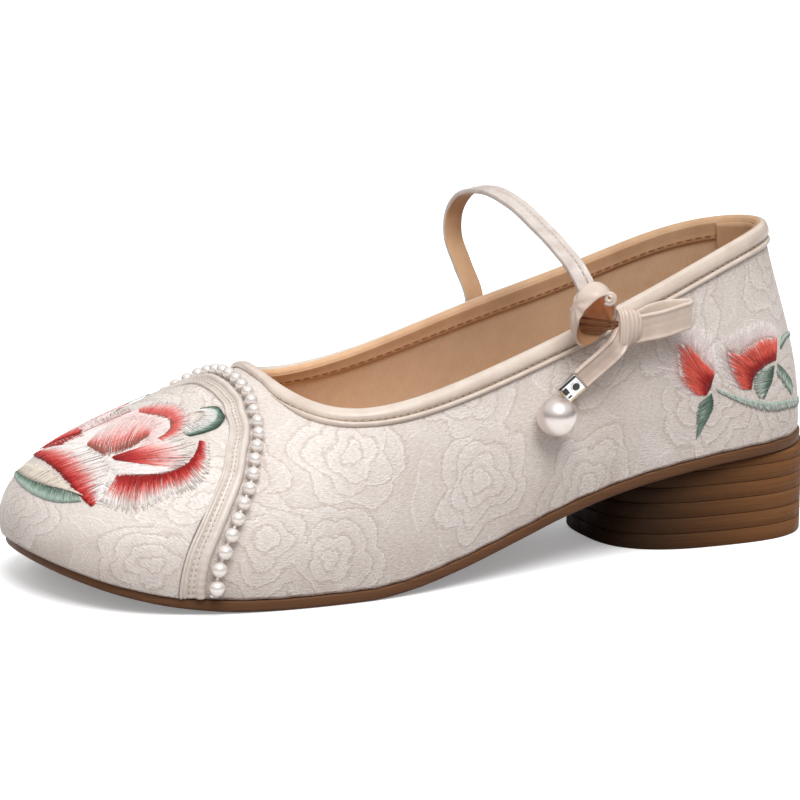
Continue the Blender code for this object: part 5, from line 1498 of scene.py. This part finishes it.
def buildSole(shape):
    half = shape["half"]
    ribs = halfRibs(half)
    toe = bell(ribValues(ribs)[..., footS], lastSizes["toeMarginReach"])
    margin = lastSizes["soleMargin"] + (lastSizes["toeMargin"] - lastSizes["soleMargin"]) * toe
    levels = [soleOutline(ribs, margin - shape["roll"] * inset, lift) for inset, lift in shape["steps"]]
    outer, inner = levels[0][:half], levels[0][half:][::-1]
    across = np.linspace(0.0, 1.0, shape["rungs"])[:, None, None]
    bottom = inner * (1 - across) + outer * across
    s, y = bottom[..., 0], bottom[..., 1]
    rim = np.minimum(np.abs(y - outer[:, 1]), np.abs(y - inner[:, 1]))
    field = blend(*shape["treadRim"], rim) * blend(*shape["treadStart"], s)
    field *= 1.0 - blend(*shape["treadEnd"], s)
    bottom[..., 2] += shape["tread"] * field * (0.5 + 0.5 * np.sin(s / shape["treadStep"] * math.tau)) ** 3
    return finishPiece(slabPiece("outsole", levels, bottom), [soleRubber], "sole_rubber", "outsole")


def buildPad(shape):
    inset = -(lastSizes["wall"] + 2.0 * lastSizes["gap"])
    rise = lastSizes["soleThickness"] + lastSizes["gap"]
    ribs = halfRibs(shape["half"])
    levels = [soleOutline(ribs, inset - draw, rise + lift) for draw, lift in shape["steps"]]
    return finishPiece(slabPiece("sockPad", levels), [sockLeather], "insole_leather", "insole")


def buildHeel(shape):
    turn = np.linspace(shape["tip"], math.pi - shape["tip"], shape["half"])
    power = 2.0 / shape["blunt"]
    s = shape["centre"] - shape["halfLong"] * np.sign(np.cos(turn)) * np.abs(np.cos(turn)) ** power
    aside = shape["halfWide"] * np.sin(turn) ** power
    outline = np.concatenate([np.stack([s, -aside], axis=1), np.stack([s, aside], axis=1)[::-1]])
    ahead = np.roll(outline, -1, axis=0) - np.roll(outline, 1, axis=0)
    inward = unit(np.stack([-ahead[:, 1], ahead[:, 0]], axis=1))
    top = soleBottom(outline[:, 0]) - lastSizes["gap"]
    heights = [(0.0, shape["bevel"]), (0.15, 0.2), (shape["bevel"], 0.0)]
    for layer in range(1, shape["layers"]):
        for t in np.linspace(-1.0, 1.0, 9):             # soft-edged grooves between the stacked lifts
            height = layer * shape["layer"] + t * shape["grooveHalf"] * 1.6
            heights.append((height, shape["groove"] * math.cos(t * math.pi / 2.0) ** 2))
    levels = []
    for number, (height, deep) in enumerate(heights):
        ceiling = top - 0.02 * (len(heights) - number)
        room = np.clip((top - height) / (2.0 * shape["grooveHalf"]), 0.0, 1.0)[:, None]
        levels.append(np.column_stack([outline + deep * room * inward, np.minimum(height, ceiling)]))
    levels.append(np.column_stack([outline, top]))
    return finishPiece(slabPiece("heelBlock", levels), [heelRubber], "heel_rubber", "heel")


buildSole(soleShape)
buildPad(padShape)
buildHeel(heelShape)
print("sole and heel built")
buildUpper(upperShape)
buildLining(liningShape)
buildFacing(facingShape)
buildHeelGrip(gripShape)
buildToeCap(capShape)
print("upper, lining and toe cap built")
buildCapBinding(capBindingShape)
buildCollarBinding(collarShape)
buildPiping(pipingShape)
buildSeams(seamShape)
buildPearls(pearlShape)
print("bindings and pearls built")
buildRibbons()
buildPuff(puffShape)
buildKnot(knotShape)
buildBowTrim(bowTrim)
buildClasp(claspShape)
buildTailPearl(tailPearlShape)
print("strap, bow and pendant built")
flossLift = 0.02                 # keeps the lowest stitches clear of the cloth
embroider("toeEmbroidery", toePatches, capShape["gap"] + capShape["thick"] + flossLift, stitchShape)
embroider("heelFringe", fringePatches, 0.0, fringeStitches)
embroider("heelEmbroidery", budPatches, flossLift, stitchShape)
print("embroidery built")

# pale floor and soft studio light; each lamp has a name, the way to it, how wide it looks, and its power
stageLook = {"floor": "FFFFFF", "bounce": "8C8380", "floorWide": 6.0, "glow": 0.25, "fibres": 0.3,
             "top": "FFFFFF", "horizon": "4A4244", "skyFrom": 0.22, "skyTo": 0.5, "strength": 0.71}
lamps = [("keyLight", (-0.1, -0.53, 0.84), math.radians(36), 2.2),
         ("fillLight", (-0.75, -0.6, 0.3), math.radians(60), 0.5),
         ("backLight", (0.25, 0.85, 0.3), math.radians(60), 0.55)]


def buildStage(look):
    bpy.ops.mesh.primitive_plane_add(size=look["floorWide"])
    floor = bpy.context.object
    floor.name = "floor"
    white = linear(look["floor"])
    material, tree, shader, flat = newMaterial("floorPaper", Specular_IOR_Level=0.1, Emission_Color=white)
    ray = addNode(tree, "LightPath").outputs
    # white to look at, but throws little light back up; its own glow keeps the shadow pale
    paper = addNode(tree, "Mix", {0: ray["Is Diffuse Ray"], 6: white, 7: linear(look["bounce"])},
                    data_type="RGBA")
    glow = addNode(tree, "Math", [ray["Is Camera Ray"], look["glow"]], operation="MULTIPLY")
    fibres = addNode(tree, "TexNoise", {"Vector": flat, "Scale": look["fibres"]})
    dull = addNode(tree, "MapRange", {"Value": fibres, "To Min": 0.8, "To Max": 0.95})
    feed(tree, shader, {"Base Color": paper.outputs[2], "Emission Strength": glow, "Roughness": dull})
    floor.data.materials.append(material)
    world = bpy.data.worlds.new("studio")
    world.use_nodes = True
    bpy.context.scene.world = world
    tree = world.node_tree
    height = addNode(tree, "SeparateXYZ", [addNode(tree, "TexCoord").outputs["Generated"]]).outputs["Z"]
    up = addNode(tree, "MapRange", {"Value": height, "From Min": look["skyFrom"], "From Max": look["skyTo"]})
    sky = addNode(tree, "Mix", {0: up, 6: linear(look["horizon"]), 7: linear(look["top"])}, data_type="RGBA")
    feed(tree, tree.nodes["Background"], {"Color": sky.outputs[2], "Strength": look["strength"]})
    for name, way, wide, power in lamps:
        light = bpy.data.lights.new(name, "SUN")
        light.angle = wide
        light.energy = power
        lamp = bpy.data.objects.new(name, light)
        lamp.location = way
        lamp.visible_glossy = name == "keyLight"        # only the key shows as a highlight
        lamp.rotation_euler = Vector(way).to_track_quat("Z", "Y").to_euler()
        bpy.context.scene.collection.objects.link(lamp)


# camera: the photograph's angle, distance and framing
cameraShape = {"azimuth": -25.59, "elevation": 12.97, "roll": 1.05, "distance": 1250.0,
               "aim": (122.5, 0.0, 40.0), "lens": 195.9, "sensor": 36.0, "shift": (-0.0218, 0.022),
               "far": 10.0}


def buildCamera(shape):
    azimuth, elevation, roll = [math.radians(shape[key]) for key in ("azimuth", "elevation", "roll")]
    level = math.cos(elevation)
    back = np.array([math.sin(azimuth) * level, -math.cos(azimuth) * level, math.sin(elevation)])
    right = unit(np.cross(-back, upward))
    up = np.cross(right, -back)
    cosine, sine = math.cos(roll), math.sin(roll)
    turn = np.stack([right * cosine + up * sine, up * cosine - right * sine, back], axis=1)
    lens = bpy.data.cameras.new("photoCamera")
    lens.lens = shape["lens"]
    lens.sensor_width = shape["sensor"]
    lens.shift_x, lens.shift_y = shape["shift"]
    lens.clip_end = shape["far"]
    camera = bpy.data.objects.new("photoCamera", lens)
    spot = toWorld(np.array(shape["aim"]) + back * shape["distance"])
    camera.matrix_world = Matrix.LocRotScale(Vector(spot), Matrix(turn.tolist()), None)
    bpy.context.scene.collection.objects.link(camera)
    bpy.context.scene.camera = camera


buildStage(stageLook)
buildCamera(cameraShape)
bpy.context.scene.view_settings.view_transform = "Standard"
print("stage and camera set")
